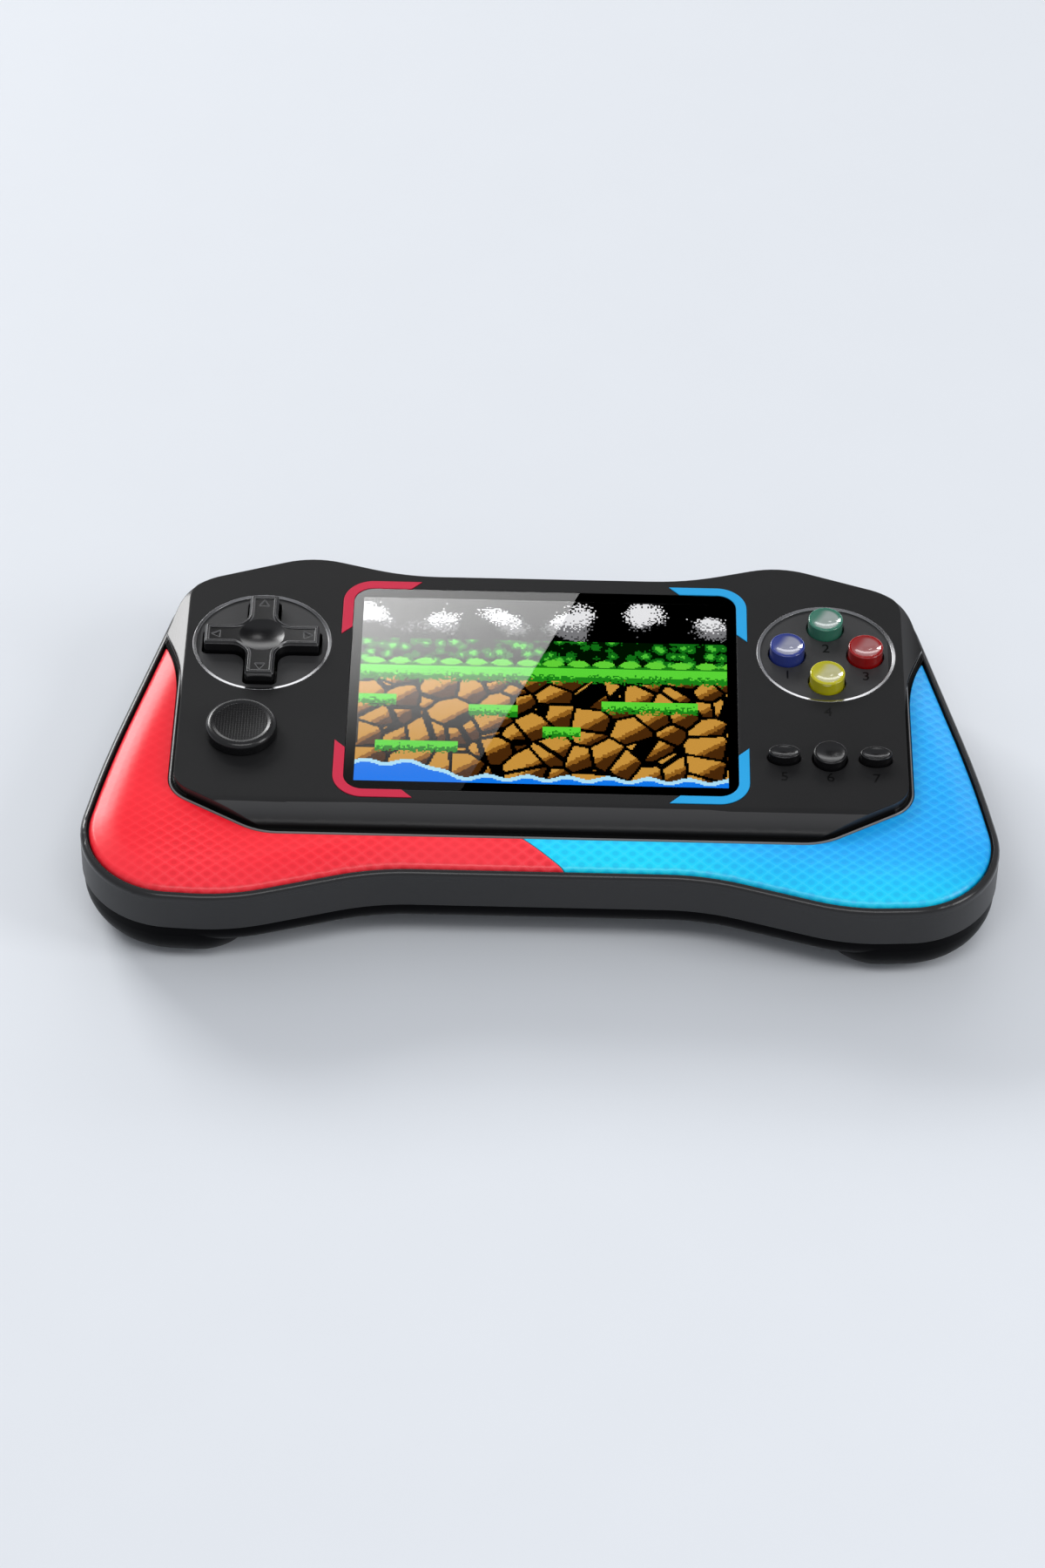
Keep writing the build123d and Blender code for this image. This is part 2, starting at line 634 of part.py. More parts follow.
with BuildPart() as rear_shell:
    with BuildSketch(level(PARTING_HEIGHT)):
        add(rear_outline)
    extrude(amount=-REAR_WALL_HEIGHT)
    fillet(rear_shell.edges().group_by(Axis.Z)[0], radius=BELLY_FILLET)
    add(lobes.part)
    with BuildSketch(level(BELLY_FLOOR)):
        add(rear_cavity)
    extrude(amount=CUT, mode=Mode.SUBTRACT)
    add(lobe_hollows.part, mode=Mode.SUBTRACT)
    # Lip that lines up the two shells, left out where the sockets stand
    with BuildSketch(level(PARTING_HEIGHT - LIP_ROOT)):
        add(lip_ring)
        with Locations((0, FAR_WALL_INSIDE_Y)):
            Rectangle(PORT_SPAN, PORT_DEPTH, mode=Mode.SUBTRACT)
    extrude(amount=LIP_ROOT + LIP_RISE)
    # Screw tubes
    with BuildSketch(level(SCREW_TUBE_FOOT)):
        with Locations(*lobe_screw_places):
            Circle(screw_tube_radius)
    extrude(amount=PARTING_HEIGHT - SCREW_TUBE_FOOT)
    with BuildSketch(level(BELLY_HEIGHT + SEAT_GAP)):
        with Locations(*belly_screw_places):
            Circle(screw_tube_radius)
    extrude(amount=REAR_WALL_HEIGHT - SEAT_GAP)
    # Rib round the speaker
    with BuildSketch(level(BELLY_FLOOR)):
        with Locations(speaker_place):
            Circle(speaker_rib_radius)
            Circle(SPEAKER_RADIUS + SPEAKER_SEAT, mode=Mode.SUBTRACT)
    extrude(amount=SPEAKER_RIB_HEIGHT)
    # Battery bay, open below
    with BuildSketch(level(BELLY_HEIGHT + DOOR_THICKNESS)):
        with Locations((0, BAY_Y)):
            Rectangle(BAY_WIDTH + 2 * BAY_WALL, BAY_DEPTH + 2 * BAY_WALL)
    extrude(amount=BAY_TOP + BAY_CEILING - BELLY_HEIGHT - DOOR_THICKNESS)
    with BuildSketch(level(BAY_TOP)):
        with Locations((0, BAY_Y)):
            Rectangle(BAY_WIDTH, BAY_DEPTH)
    extrude(amount=-CUT, mode=Mode.SUBTRACT)
    with BuildSketch(level(BELLY_HEIGHT + DOOR_THICKNESS)):
        with Locations((0, BAY_Y)):
            Rectangle(DOOR_WIDTH, DOOR_DEPTH)
    extrude(amount=-CUT, mode=Mode.SUBTRACT)
    with BuildSketch(level(BAY_TOP)):
        with Locations((0, BAY_Y + CONTACT_Y)):
            Rectangle(CONTACT_SLOT_WIDTH, CONTACT_SLOT_DEPTH)
    extrude(amount=CUT, mode=Mode.SUBTRACT)
    # Pin holes of the battery door
    with BuildSketch(Plane.YZ.offset(-DOOR_WIDTH / 2 - DOOR_PIN_LENGTH)):
        with Locations((LENS_Y + door_pin_y, door_pin_height)):
            Circle(DOOR_PIN_RADIUS + FIT_GAP)
    extrude(amount=DOOR_WIDTH + 2 * DOOR_PIN_LENGTH, mode=Mode.SUBTRACT)
    # Screw holes with deep seats for the heads
    with BuildSketch(level(screw_seat)):
        with Locations(*screw_places):
            Circle(SCREW_HEAD_RADIUS + SCREW_HEAD_GAP)
    extrude(amount=-CUT, mode=Mode.SUBTRACT)
    with BuildSketch(level(screw_seat)):
        with Locations(*screw_places):
            Circle(SCREW_RADIUS + FIT_GAP)
    extrude(amount=CUT, mode=Mode.SUBTRACT)
    # Speaker slots
    with BuildSketch(level(BELLY_FLOOR)):
        with Locations(speaker_place):
            with GridLocations(GRILLE_PITCH, GRILLE_PITCH, GRILLE_SLOTS, 1):
                SlotOverall(GRILLE_LENGTH, GRILLE_SLOT, rotation=QUARTER_TURN)
    extrude(amount=-CUT, mode=Mode.SUBTRACT)
    # Lower half of the jack's hole
    with BuildSketch(facing(FAR_WALL_Y - WALL - LIP_THICKNESS)):
        with Locations((-JACK_X, jack_axis_height)):
            Circle(JACK_NOSE_RADIUS + JACK_HOLE_GAP)
    extrude(amount=CUT, mode=Mode.SUBTRACT)
save(rear_shell, "rear_shell")

# Front shell: the wall all round and the deck that the controls stand in
with BuildPart() as front_shell:
    with BuildSketch(level(PARTING_HEIGHT)):
        add(body_outline)
    extrude(amount=RIM_TOP - PARTING_HEIGHT)
    fillet(front_shell.edges().group_by(Axis.Z)[-1], radius=RIM_FILLET)
    with BuildSketch(level(DECK_TOP)):
        add(recess_outline)
    extrude(amount=CUT, mode=Mode.SUBTRACT)
    with BuildSketch(level(PARTING_HEIGHT)):
        add(front_cavity)
    extrude(amount=BOARD_TOP - PARTING_HEIGHT, mode=Mode.SUBTRACT)
    with BuildSketch(level(PARTING_HEIGHT)):
        with Locations(*screw_places):
            Circle(BOSS_RADIUS)
    extrude(amount=BOARD_TOP - PARTING_HEIGHT)
    with BuildSketch(level(PARTING_HEIGHT)):
        with Locations(*screw_places):
            Circle(SCREW_RADIUS + FIT_GAP)
    extrude(amount=SCREW_LENGTH + screw_seat - PARTING_HEIGHT + SEAT_GAP, mode=Mode.SUBTRACT)
    # Openings of the deck, and blind holes for the screws of the circuit board
    with BuildSketch(level(BOARD_TOP)):
        with Locations(dpad_place, cluster_place):
            Circle(MAT_RADIUS + MAT_MARGIN)
        with Locations(stick_place):
            Rectangle(STICK_HOUSING_SIZE + 2 * SLIDE_GAP, STICK_HOUSING_SIZE + 2 * SLIDE_GAP)
        with Locations(function_place):
            RectangleRounded(
                2 * FUNCTION_PITCH + FUNCTION_LENGTH + 2 * MAT_MARGIN + 2 * SLIDE_GAP,
                2 * FUNCTION_RADIUS + 2 * MAT_MARGIN + 2 * SLIDE_GAP,
                FUNCTION_RADIUS,
            )
        with Locations((0, CONNECTOR_Y + DECK_SLOT_SHIFT)):
            Rectangle(DECK_SLOT_WIDTH, DECK_SLOT_DEPTH)
    extrude(amount=CUT, mode=Mode.SUBTRACT)
    with BuildSketch(level(BOARD_TOP)):
        with Locations(*board_screw_places):
            Circle(BOARD_SCREW_RADIUS + FIT_GAP)
    extrude(amount=BOARD_SCREW_LENGTH - BOARD_THICKNESS + FIT_GAP, mode=Mode.SUBTRACT)
    # Openings of the far wall
    with BuildSketch(facing(FAR_WALL_INSIDE_Y - WALL)):
        with Locations((-JACK_X, jack_axis_height)):
            Circle(JACK_NOSE_RADIUS + JACK_HOLE_GAP)
        with Locations((-USB_X, PARTING_HEIGHT - CUT)):
            Rectangle(
                USB_WIDTH + 2 * SLIDE_GAP,
                CUT + BOARD_BOTTOM + SLIDE_GAP - PARTING_HEIGHT,
                align=(Align.CENTER, Align.MIN),
            )
        with Locations((-WHEEL_X, PARTING_HEIGHT - CUT)):
            Rectangle(
                2 * WHEEL_RADIUS,
                CUT + BOARD_BOTTOM - WHEEL_BRACKET + SLIDE_GAP - PARTING_HEIGHT,
                align=(Align.CENTER, Align.MIN),
            )
        with Locations((-SWITCH_X, BOARD_BOTTOM - SWITCH_HEIGHT / 2)):
            Rectangle(
                KNOB_TAB_WIDTH + SWITCH_TRAVEL + 2 * SLIDE_GAP,
                KNOB_TAB_HEIGHT + 2 * SLIDE_GAP,
            )
    extrude(amount=CUT, mode=Mode.SUBTRACT)
save(front_shell, "front_shell")

# Grip panels: one crowned shape, trimmed to the plan of each side
with BuildPart() as crown:
    with BuildSketch(level(DECK_TOP)):
        add(panel_limit)
    extrude(amount=PANEL_HEIGHT)
    chamfer(crown.edges().group_by(Axis.Z)[-1], length=CROWN_DROP, length2=CROWN_WIDTH)
    fillet(crown.edges().group_by(Axis.Z)[-1], radius=CROWN_TOP_FILLET)
    crease_height = DECK_TOP + PANEL_HEIGHT - CROWN_DROP
    fillet(
        crown.edges().filter_by_position(
            Axis.Z, crease_height - FIT_GAP, crease_height + FIT_GAP
        ),
        radius=CROWN_LOW_FILLET,
    )

with BuildPart() as left_grip_panel:
    add(crown.part)
    with BuildSketch(level(DECK_TOP)):
        add(left_panel_area)
    extrude(amount=CUT, mode=Mode.INTERSECT)
save(left_grip_panel, "left_grip_panel")

with BuildPart() as right_grip_panel:
    add(crown.part)
    with BuildSketch(level(DECK_TOP)):
        add(right_panel_area)
    extrude(amount=CUT, mode=Mode.INTERSECT)
save(right_grip_panel, "right_grip_panel")

# Face plate: a flat top that falls in a curve to the near edge, with sloped wings
with BuildPart() as face_block:
    with BuildSketch(level(DECK_TOP)):
        add(face_plan)
    extrude(amount=FACE_HEIGHT - DECK_TOP)
    with BuildSketch(upright(-BODY_WIDTH / 2)):
        with BuildLine():
            EllipticalCenterArc(
                (FALL_START_Y, LIP_TOP),
                FALL_LENGTH,
                LIP_DROP,
                start_angle=QUARTER_TURN,
                arc_size=QUARTER_TURN,
            )
            Polyline(
                (FALL_END_Y, LIP_TOP),
                (-BODY_DEPTH, LIP_TOP),
                (-BODY_DEPTH, DECK_TOP),
                (BODY_DEPTH, DECK_TOP),
                (BODY_DEPTH, FACE_HEIGHT),
                (FALL_START_Y, FACE_HEIGHT),
            )
        make_face()
    extrude(amount=BODY_WIDTH, mode=Mode.INTERSECT)

with BuildPart() as wings:
    with BuildSketch(level(FACE_HEIGHT)):
        add(wing_roots)
    extrude(amount=-WING_DROP, taper=-WING_SLOPE)
    with BuildSketch(level(FACE_HEIGHT)):
        add(wing_area)
    extrude(amount=-WING_DROP, mode=Mode.INTERSECT)

with BuildPart() as lip_layer:
    with BuildSketch(level(DECK_TOP)):
        add(plate_lip)
    extrude(amount=LIP_TOP - DECK_TOP)
    fillet(lip_layer.edges().group_by(Axis.Z)[-1], radius=LIP_FILLET)
    with BuildSketch(level(FACE_HEIGHT)):
        add(wing_area)
    extrude(amount=-CUT, mode=Mode.SUBTRACT)

with BuildPart() as faceplate:
    add(face_block.part)
    add(wings.part)
    add(lip_layer.part)
    with BuildSketch(level(DECK_TOP)):
        add(plate_foot)
    extrude(amount=FACE_HEIGHT - WING_DROP - DECK_TOP)
    # Hollow underside, with a deeper seat for the display
    with BuildSketch(level(FACE_UNDERSIDE)):
        add(plate_pocket)
    extrude(amount=-CUT, mode=Mode.SUBTRACT)
    with BuildSketch(level(DISPLAY_TOP)):
        with Locations((0, DISPLAY_SHIFT)):
            Rectangle(DISPLAY_WIDTH + 2 * POCKET_MARGIN, DISPLAY_DEPTH + 2 * POCKET_MARGIN)
    extrude(amount=-CUT, mode=Mode.SUBTRACT)
    # Seats of the lens, its frame and the corner accents
    with BuildSketch(level(RECESS_BOTTOM)):
        RectangleRounded(LENS_WIDTH + 2 * FIT_GAP, LENS_DEPTH + 2 * FIT_GAP, LENS_RADIUS)
    extrude(amount=CUT, mode=Mode.SUBTRACT)
    with BuildSketch(level(RECESS_BOTTOM)):
        with Locations((0, PICTURE_SHIFT)):
            Rectangle(PICTURE_WIDTH + 2 * WINDOW_MARGIN, PICTURE_DEPTH + 2 * WINDOW_MARGIN)
    extrude(amount=-CUT, mode=Mode.SUBTRACT)
    with BuildSketch(level(FACE_HEIGHT + ACCENT_RISE - ACCENT_THICKNESS)):
        add(left_accents)
        add(right_accents)
        offset(amount=FIT_GAP)
    extrude(amount=CUT, mode=Mode.SUBTRACT)
    # Round control fields, sunk behind a narrow bevel
    with BuildSketch(level(FACE_HEIGHT)):
        with Locations(dpad_place, cluster_place):
            Circle(RING_RADIUS)
    ring_slope = math.degrees(math.atan2(RING_BEVEL, RING_DEPTH))
    extrude(amount=-RING_DEPTH, taper=ring_slope, mode=Mode.SUBTRACT)
    # Openings of the controls
    with BuildSketch(level(FACE_HEIGHT)):
        with Locations(dpad_place):
            add(cross_hole)
        with Locations(cluster_place):
            with PolarLocations(BUTTON_CIRCLE_RADIUS, 4):
                Circle(BUTTON_RADIUS + SLIDE_GAP)
        with Locations(stick_place):
            Circle(stick_opening_radius)
        with Locations(function_place):
            Circle(FUNCTION_RADIUS + SLIDE_GAP)
            with Locations((-FUNCTION_PITCH, 0), (FUNCTION_PITCH, 0)):
                Ellipse(FUNCTION_LENGTH / 2 + SLIDE_GAP, FUNCTION_WIDTH / 2 + SLIDE_GAP)
    extrude(amount=-CUT, mode=Mode.SUBTRACT)
save(faceplate, "faceplate")

# Screen: lens, the black frame printed behind it, four corner accents, the display
with BuildPart() as screen_lens:
    with BuildSketch(level(LENS_BOTTOM)):
        RectangleRounded(LENS_WIDTH, LENS_DEPTH, LENS_RADIUS)
    extrude(amount=LENS_THICKNESS)
save(screen_lens, "screen_lens")

with BuildPart() as lens_frame:
    with BuildSketch(level(RECESS_BOTTOM)):
        RectangleRounded(LENS_WIDTH, LENS_DEPTH, LENS_RADIUS)
        with Locations((0, PICTURE_SHIFT)):
            Rectangle(PICTURE_WIDTH, PICTURE_DEPTH, mode=Mode.SUBTRACT)
    extrude(amount=TAPE_THICKNESS)
save(lens_frame, "lens_frame")

with BuildPart() as red_accents:
    with BuildSketch(level(FACE_HEIGHT + ACCENT_RISE - ACCENT_THICKNESS)):
        add(left_accents)
    extrude(amount=ACCENT_THICKNESS)
save(red_accents, "red_accents")

with BuildPart() as blue_accents:
    with BuildSketch(level(FACE_HEIGHT + ACCENT_RISE - ACCENT_THICKNESS)):
        add(right_accents)
    extrude(amount=ACCENT_THICKNESS)
save(blue_accents, "blue_accents")

display_bottom = DISPLAY_TOP - DISPLAY_THICKNESS
with BuildPart() as display_panel:
    with BuildSketch(level(display_bottom)):
        with Locations((0, DISPLAY_SHIFT)):
            Rectangle(DISPLAY_WIDTH, DISPLAY_DEPTH)
    extrude(amount=DISPLAY_THICKNESS)
save(display_panel, "display_panel")

ribbon_grip = BOARD_TOP + CONNECTOR_HEIGHT / 2
ribbon_end_y = CONNECTOR_Y + CONNECTOR_DEPTH / 2 - SOCKET_DEPTH
ribbon_grip_y = ribbon_end_y + RIBBON_IN_SOCKET
ribbon_turn_y = ribbon_grip_y + RIBBON_RAMP
ribbon_start_y = ribbon_turn_y + RIBBON_ON_DISPLAY
with BuildPart() as display_ribbon:
    with BuildSketch(upright(-RIBBON_WIDTH / 2)):
        with BuildLine():
            Polyline(
                (ribbon_start_y, display_bottom),
                (ribbon_turn_y, display_bottom),
                (ribbon_grip_y, ribbon_grip),
                (ribbon_end_y, ribbon_grip),
                (ribbon_end_y, ribbon_grip - RIBBON_THICKNESS),
                (ribbon_grip_y, ribbon_grip - RIBBON_THICKNESS),
                (ribbon_turn_y, display_bottom - RIBBON_THICKNESS),
                (ribbon_start_y, display_bottom - RIBBON_THICKNESS),
                close=True,
            )
        make_face()
    extrude(amount=RIBBON_WIDTH)
save(display_ribbon, "display_ribbon")

with BuildPart() as ribbon_connector:
    with BuildSketch(level(BOARD_TOP)):
        with Locations((0, CONNECTOR_Y)):
            Rectangle(CONNECTOR_WIDTH, CONNECTOR_DEPTH)
    extrude(amount=CONNECTOR_HEIGHT)
    with BuildSketch(upright(-RIBBON_WIDTH / 2 - SLIDE_GAP)):
        with Locations((ribbon_end_y - SLIDE_GAP, ribbon_grip - RIBBON_THICKNESS / 2)):
            Rectangle(CUT, CONNECTOR_SLOT, align=(Align.MIN, Align.CENTER))
    extrude(amount=RIBBON_WIDTH + 2 * SLIDE_GAP, mode=Mode.SUBTRACT)
save(ribbon_connector, "ribbon_connector")

# Direction pad: a dished cross on a round flange, rocking on a ball
flange_bottom = FACE_UNDERSIDE - DPAD_ROCK_ROOM - DPAD_FLANGE
dpad_top = FACE_HEIGHT + DPAD_RISE
with BuildPart() as dpad:
    with BuildSketch(raised(dpad_place, flange_bottom)):
        Circle(DPAD_FLANGE_RADIUS)
    extrude(amount=DPAD_FLANGE)
    with BuildSketch(raised(dpad_place, flange_bottom)):
        add(cross_outline)
    extrude(amount=dpad_top - flange_bottom)
    chamfer(dpad.faces().sort_by(Axis.Z)[-1].edges(), length=DPAD_BEVEL)
    # Sunken top inside a narrow bead, with an arrow in each arm
    with BuildSketch(raised(dpad_place, dpad_top)):
        add(cross_outline)
        offset(amount=-DPAD_BEAD)
    extrude(amount=-DPAD_PANEL_DEPTH, mode=Mode.SUBTRACT)
    with BuildSketch(raised(dpad_place, dpad_top - DPAD_PANEL_DEPTH)):
        with PolarLocations(ARROW_CIRCLE_RADIUS, 4):
            RegularPolygon(ARROW_RADIUS, 3)
    extrude(amount=-ARROW_DEPTH, mode=Mode.SUBTRACT)
    # Hub round the ball and four posts for the contacts
    with BuildSketch(raised(dpad_place, flange_bottom)):
        Circle(BALL_RADIUS + WALL)
        with PolarLocations(DPAD_POST_CIRCLE_RADIUS, 4):
            Circle(DPAD_POST_RADIUS)
    extrude(amount=-DPAD_POST_LENGTH)
    with Locations(raised(dpad_place, dpad_top + DPAD_DISH_RADIUS - DPAD_DISH_DEPTH)):
        Sphere(DPAD_DISH_RADIUS, mode=Mode.SUBTRACT)
    with Locations(raised(dpad_place, BALL_HEIGHT)):
        Sphere(BALL_RADIUS + BALL_GAP, mode=Mode.SUBTRACT)
save(dpad, "dpad")

with BuildPart() as dpad_pivot:
    with Locations(raised(dpad_place, BALL_HEIGHT)):
        Sphere(BALL_RADIUS)
save(dpad_pivot, "dpad_pivot")

with BuildPart() as dpad_mat:
    with BuildSketch(raised(dpad_place, BOARD_TOP)):
        Circle(MAT_RADIUS)
        Circle(BALL_RADIUS + DPAD_CLEARANCE, mode=Mode.SUBTRACT)
    extrude(amount=MAT_THICKNESS)
    with BuildSketch(raised(dpad_place, BOARD_TOP + MAT_THICKNESS)):
        with PolarLocations(DPAD_POST_CIRCLE_RADIUS, 4):
            Circle(DOME_FOOT_RADIUS)
    dome_slope = math.degrees(math.atan2(DOME_FOOT_RADIUS - DOME_TOP_RADIUS, DOME_RISE))
    extrude(amount=DOME_RISE, taper=dome_slope)
save(dpad_mat, "dpad_mat")

# Sliding thumb pad: tray, carriage along x, pad along y, and a cover over the carriage
tray_top = BOARD_TOP + STICK_HOUSING_WALL
foot_bottom = tray_top + SEAT_GAP + SEAT_GAP
carriage_bottom = foot_bottom + STICK_FOOT_THICKNESS + SEAT_GAP + SEAT_GAP
carriage_top = carriage_bottom + CARRIAGE_THICKNESS
cover_bottom = carriage_top + SLIDE_GAP
tray_inside = STICK_HOUSING_SIZE - 2 * STICK_HOUSING_WALL
foot_room = 2 * (STICK_FOOT_RADIUS + STICK_TRAVEL + SLIDE_GAP)
carriage_length = tray_inside - 2 * STICK_TRAVEL - 2 * SLIDE_GAP
pad_bottom = FACE_HEIGHT + STICK_SKIRT_GAP
pad_top = FACE_HEIGHT + STICK_RISE

with BuildPart() as stick_tray:
    with BuildSketch(raised(stick_place, BOARD_TOP)):
        Rectangle(STICK_HOUSING_SIZE, STICK_HOUSING_SIZE)
    extrude(amount=cover_bottom - BOARD_TOP)
    with BuildSketch(raised(stick_place, carriage_bottom - SEAT_GAP)):
        Rectangle(tray_inside, tray_inside)
    extrude(amount=CUT, mode=Mode.SUBTRACT)
    with BuildSketch(raised(stick_place, tray_top)):
        Rectangle(tray_inside, foot_room)
    extrude(amount=CUT, mode=Mode.SUBTRACT)
save(stick_tray, "stick_tray")

with BuildPart() as stick_cover:
    with BuildSketch(raised(stick_place, cover_bottom)):
        Rectangle(STICK_HOUSING_SIZE, STICK_HOUSING_SIZE)
        Circle(stick_opening_radius, mode=Mode.SUBTRACT)
    extrude(amount=STICK_COVER)
save(stick_cover, "stick_cover")

with BuildPart() as stick_carriage:
    with BuildSketch(raised(stick_place, carriage_bottom)):
        Rectangle(carriage_length, tray_inside - 2 * SEAT_GAP)
        Rectangle(
            2 * STICK_NECK_RADIUS + 2 * STICK_PLAY,
            2 * (STICK_NECK_RADIUS + STICK_TRAVEL + SLIDE_GAP),
            mode=Mode.SUBTRACT,
        )
    extrude(amount=CARRIAGE_THICKNESS)
save(stick_carriage, "stick_carriage")

pad_dish_radius = STICK_RADIUS - STICK_RIM
with BuildPart() as stick_cap:
    with BuildSketch(raised(stick_place, foot_bottom)):
        Circle(STICK_FOOT_RADIUS)
    extrude(amount=STICK_FOOT_THICKNESS)
    with BuildSketch(raised(stick_place, foot_bottom)):
        Circle(STICK_NECK_RADIUS)
    extrude(amount=pad_bottom - foot_bottom)
    with BuildSketch(raised(stick_place, pad_bottom)):
        Circle(STICK_RADIUS)
    extrude(amount=pad_top - pad_bottom)
    fillet(stick_cap.edges().group_by(Axis.Z)[-1], radius=STICK_EDGE_FILLET)
    with Locations(
        raised(stick_place, pad_top + dish_radius(pad_dish_radius, STICK_DISH) - STICK_DISH)
    ):
        Sphere(dish_radius(pad_dish_radius, STICK_DISH), mode=Mode.SUBTRACT)
save(stick_cap, "stick_cap")

# Four round buttons on one rubber mat
button_colours = ["blue", "green", "red", "yellow"]
button_directions = [(-1, 0), (0, 1), (1, 0), (0, -1)]
button_top = FACE_HEIGHT + BUTTON_RISE
button_dish = dish_radius(BUTTON_RADIUS - BUTTON_RIM, BUTTON_DISH)
for colour, (x_way, y_way) in zip(button_colours, button_directions):
    button_place = (
        cluster_place[0] + x_way * BUTTON_CIRCLE_RADIUS,
        cluster_place[1] + y_way * BUTTON_CIRCLE_RADIUS,
    )
    with BuildPart() as round_button:
        with BuildSketch(raised(button_place, FLANGE_BOTTOM)):
            Circle(BUTTON_RADIUS + BUTTON_FLANGE_WIDTH)
        extrude(amount=BUTTON_FLANGE)
        with BuildSketch(raised(button_place, FLANGE_BOTTOM)):
            Circle(BUTTON_RADIUS)
        extrude(amount=button_top - FLANGE_BOTTOM)
        fillet(round_button.edges().group_by(Axis.Z)[-1], radius=BUTTON_EDGE_FILLET)
        with Locations(raised(button_place, button_top + button_dish - BUTTON_DISH)):
            Sphere(button_dish, mode=Mode.SUBTRACT)
    save(round_button, f"{colour}_button")

mat_top = BOARD_TOP + MAT_THICKNESS
button_dome_rise = FLANGE_BOTTOM - BUTTON_TRAVEL - DOME_GAP - mat_top
with BuildPart() as button_mat:
    with BuildSketch(raised(cluster_place, BOARD_TOP)):
        Circle(MAT_RADIUS)
    extrude(amount=MAT_THICKNESS)
    with BuildSketch(raised(cluster_place, mat_top)):
        with PolarLocations(BUTTON_CIRCLE_RADIUS, 4):
            Circle(DOME_FOOT_RADIUS)
    dome_taper = math.degrees(math.atan2(DOME_FOOT_RADIUS - DOME_TOP_RADIUS, button_dome_rise))
    extrude(amount=button_dome_rise, taper=dome_taper)
save(button_mat, "button_mat")

# Three function buttons: two ovals with a round one between them
function_top = FACE_HEIGHT + FUNCTION_RISE
function_names = ["left_function_button", "middle_function_button", "right_function_button"]
for step, label in zip((-1, 0, 1), function_names):
    button_place = (function_place[0] + step * FUNCTION_PITCH, function_place[1])
    half_length = FUNCTION_LENGTH / 2 if step else FUNCTION_RADIUS
    half_width = FUNCTION_WIDTH / 2 if step else FUNCTION_RADIUS
    with BuildPart() as small_button:
        with BuildSketch(raised(button_place, FLANGE_BOTTOM)):
            Ellipse(half_length + FUNCTION_FLANGE_WIDTH, half_width + FUNCTION_FLANGE_WIDTH)
        extrude(amount=BUTTON_FLANGE)
        with BuildSketch(raised(button_place, FLANGE_BOTTOM)):
            Ellipse(half_length, half_width)
        extrude(amount=function_top - FLANGE_BOTTOM)
        fillet(small_button.edges().group_by(Axis.Z)[-1], radius=FUNCTION_EDGE_FILLET)
        dish = dish_radius(half_width - BUTTON_RIM, FUNCTION_DISH)
        stretch = (half_length - BUTTON_RIM) / (half_width - BUTTON_RIM)
        ball = scale(Sphere(dish, mode=Mode.PRIVATE), by=(stretch, 1, 1), mode=Mode.PRIVATE)
        add(raised(button_place, function_top + dish - FUNCTION_DISH) * ball, mode=Mode.SUBTRACT)
    save(small_button, label)

function_dome_rise = FLANGE_BOTTOM - FUNCTION_TRAVEL - DOME_GAP - mat_top
with BuildPart() as function_mat:
    with BuildSketch(raised(function_place, BOARD_TOP)):
        RectangleRounded(
            2 * FUNCTION_PITCH + FUNCTION_LENGTH + 2 * MAT_MARGIN,
            2 * FUNCTION_RADIUS + 2 * MAT_MARGIN,
            FUNCTION_RADIUS,
        )
    extrude(amount=MAT_THICKNESS)
    with BuildSketch(raised(function_place, mat_top)):
        with GridLocations(FUNCTION_PITCH, FUNCTION_PITCH, len(function_names), 1):
            Circle(FUNCTION_WIDTH / 2)
    extrude(amount=function_dome_rise)
save(function_mat, "function_mat")

# Circuit board, notched round the screw bosses, with its chips
board_tab_far = FAR_WALL_INSIDE_Y - BOSS_CLEARANCE
with BuildPart() as main_board:
    with BuildSketch(level(BOARD_BOTTOM)):
        with Locations((0, (BOARD_NEAR_Y + BOARD_FAR_Y) / 2)):
            RectangleRounded(BOARD_WIDTH, BOARD_FAR_Y - BOARD_NEAR_Y, BOARD_CORNER)
        Rectangle(PORT_SPAN, board_tab_far, align=(Align.CENTER, Align.MIN))
        with Locations(*screw_places):
            Circle(BOSS_RADIUS + BOSS_CLEARANCE, mode=Mode.SUBTRACT)
        with Locations(*board_screw_places):
            Circle(BOARD_SCREW_RADIUS + FIT_GAP, mode=Mode.SUBTRACT)
    extrude(amount=BOARD_THICKNESS)
save(main_board, "main_board")

with BuildPart() as processor_chip:
    with BuildSketch(level(BOARD_BOTTOM - CHIP_THICKNESS)):
        with Locations(at_share(*CHIP_SHARE)):
            Rectangle(CHIP_SIZE, CHIP_SIZE)
    extrude(amount=CHIP_THICKNESS)
    chamfer(processor_chip.edges().group_by(Axis.Z)[0], length=CHIP_CORNER)
save(processor_chip, "processor_chip")

with BuildPart() as memory_chip:
    with BuildSketch(level(BOARD_BOTTOM - CHIP_THICKNESS)):
        with Locations(at_share(*MEMORY_SHARE)):
            Rectangle(MEMORY_WIDTH, MEMORY_DEPTH)
    extrude(amount=CHIP_THICKNESS)
    chamfer(memory_chip.edges().group_by(Axis.Z)[0], length=CHIP_CORNER)
save(memory_chip, "memory_chip")

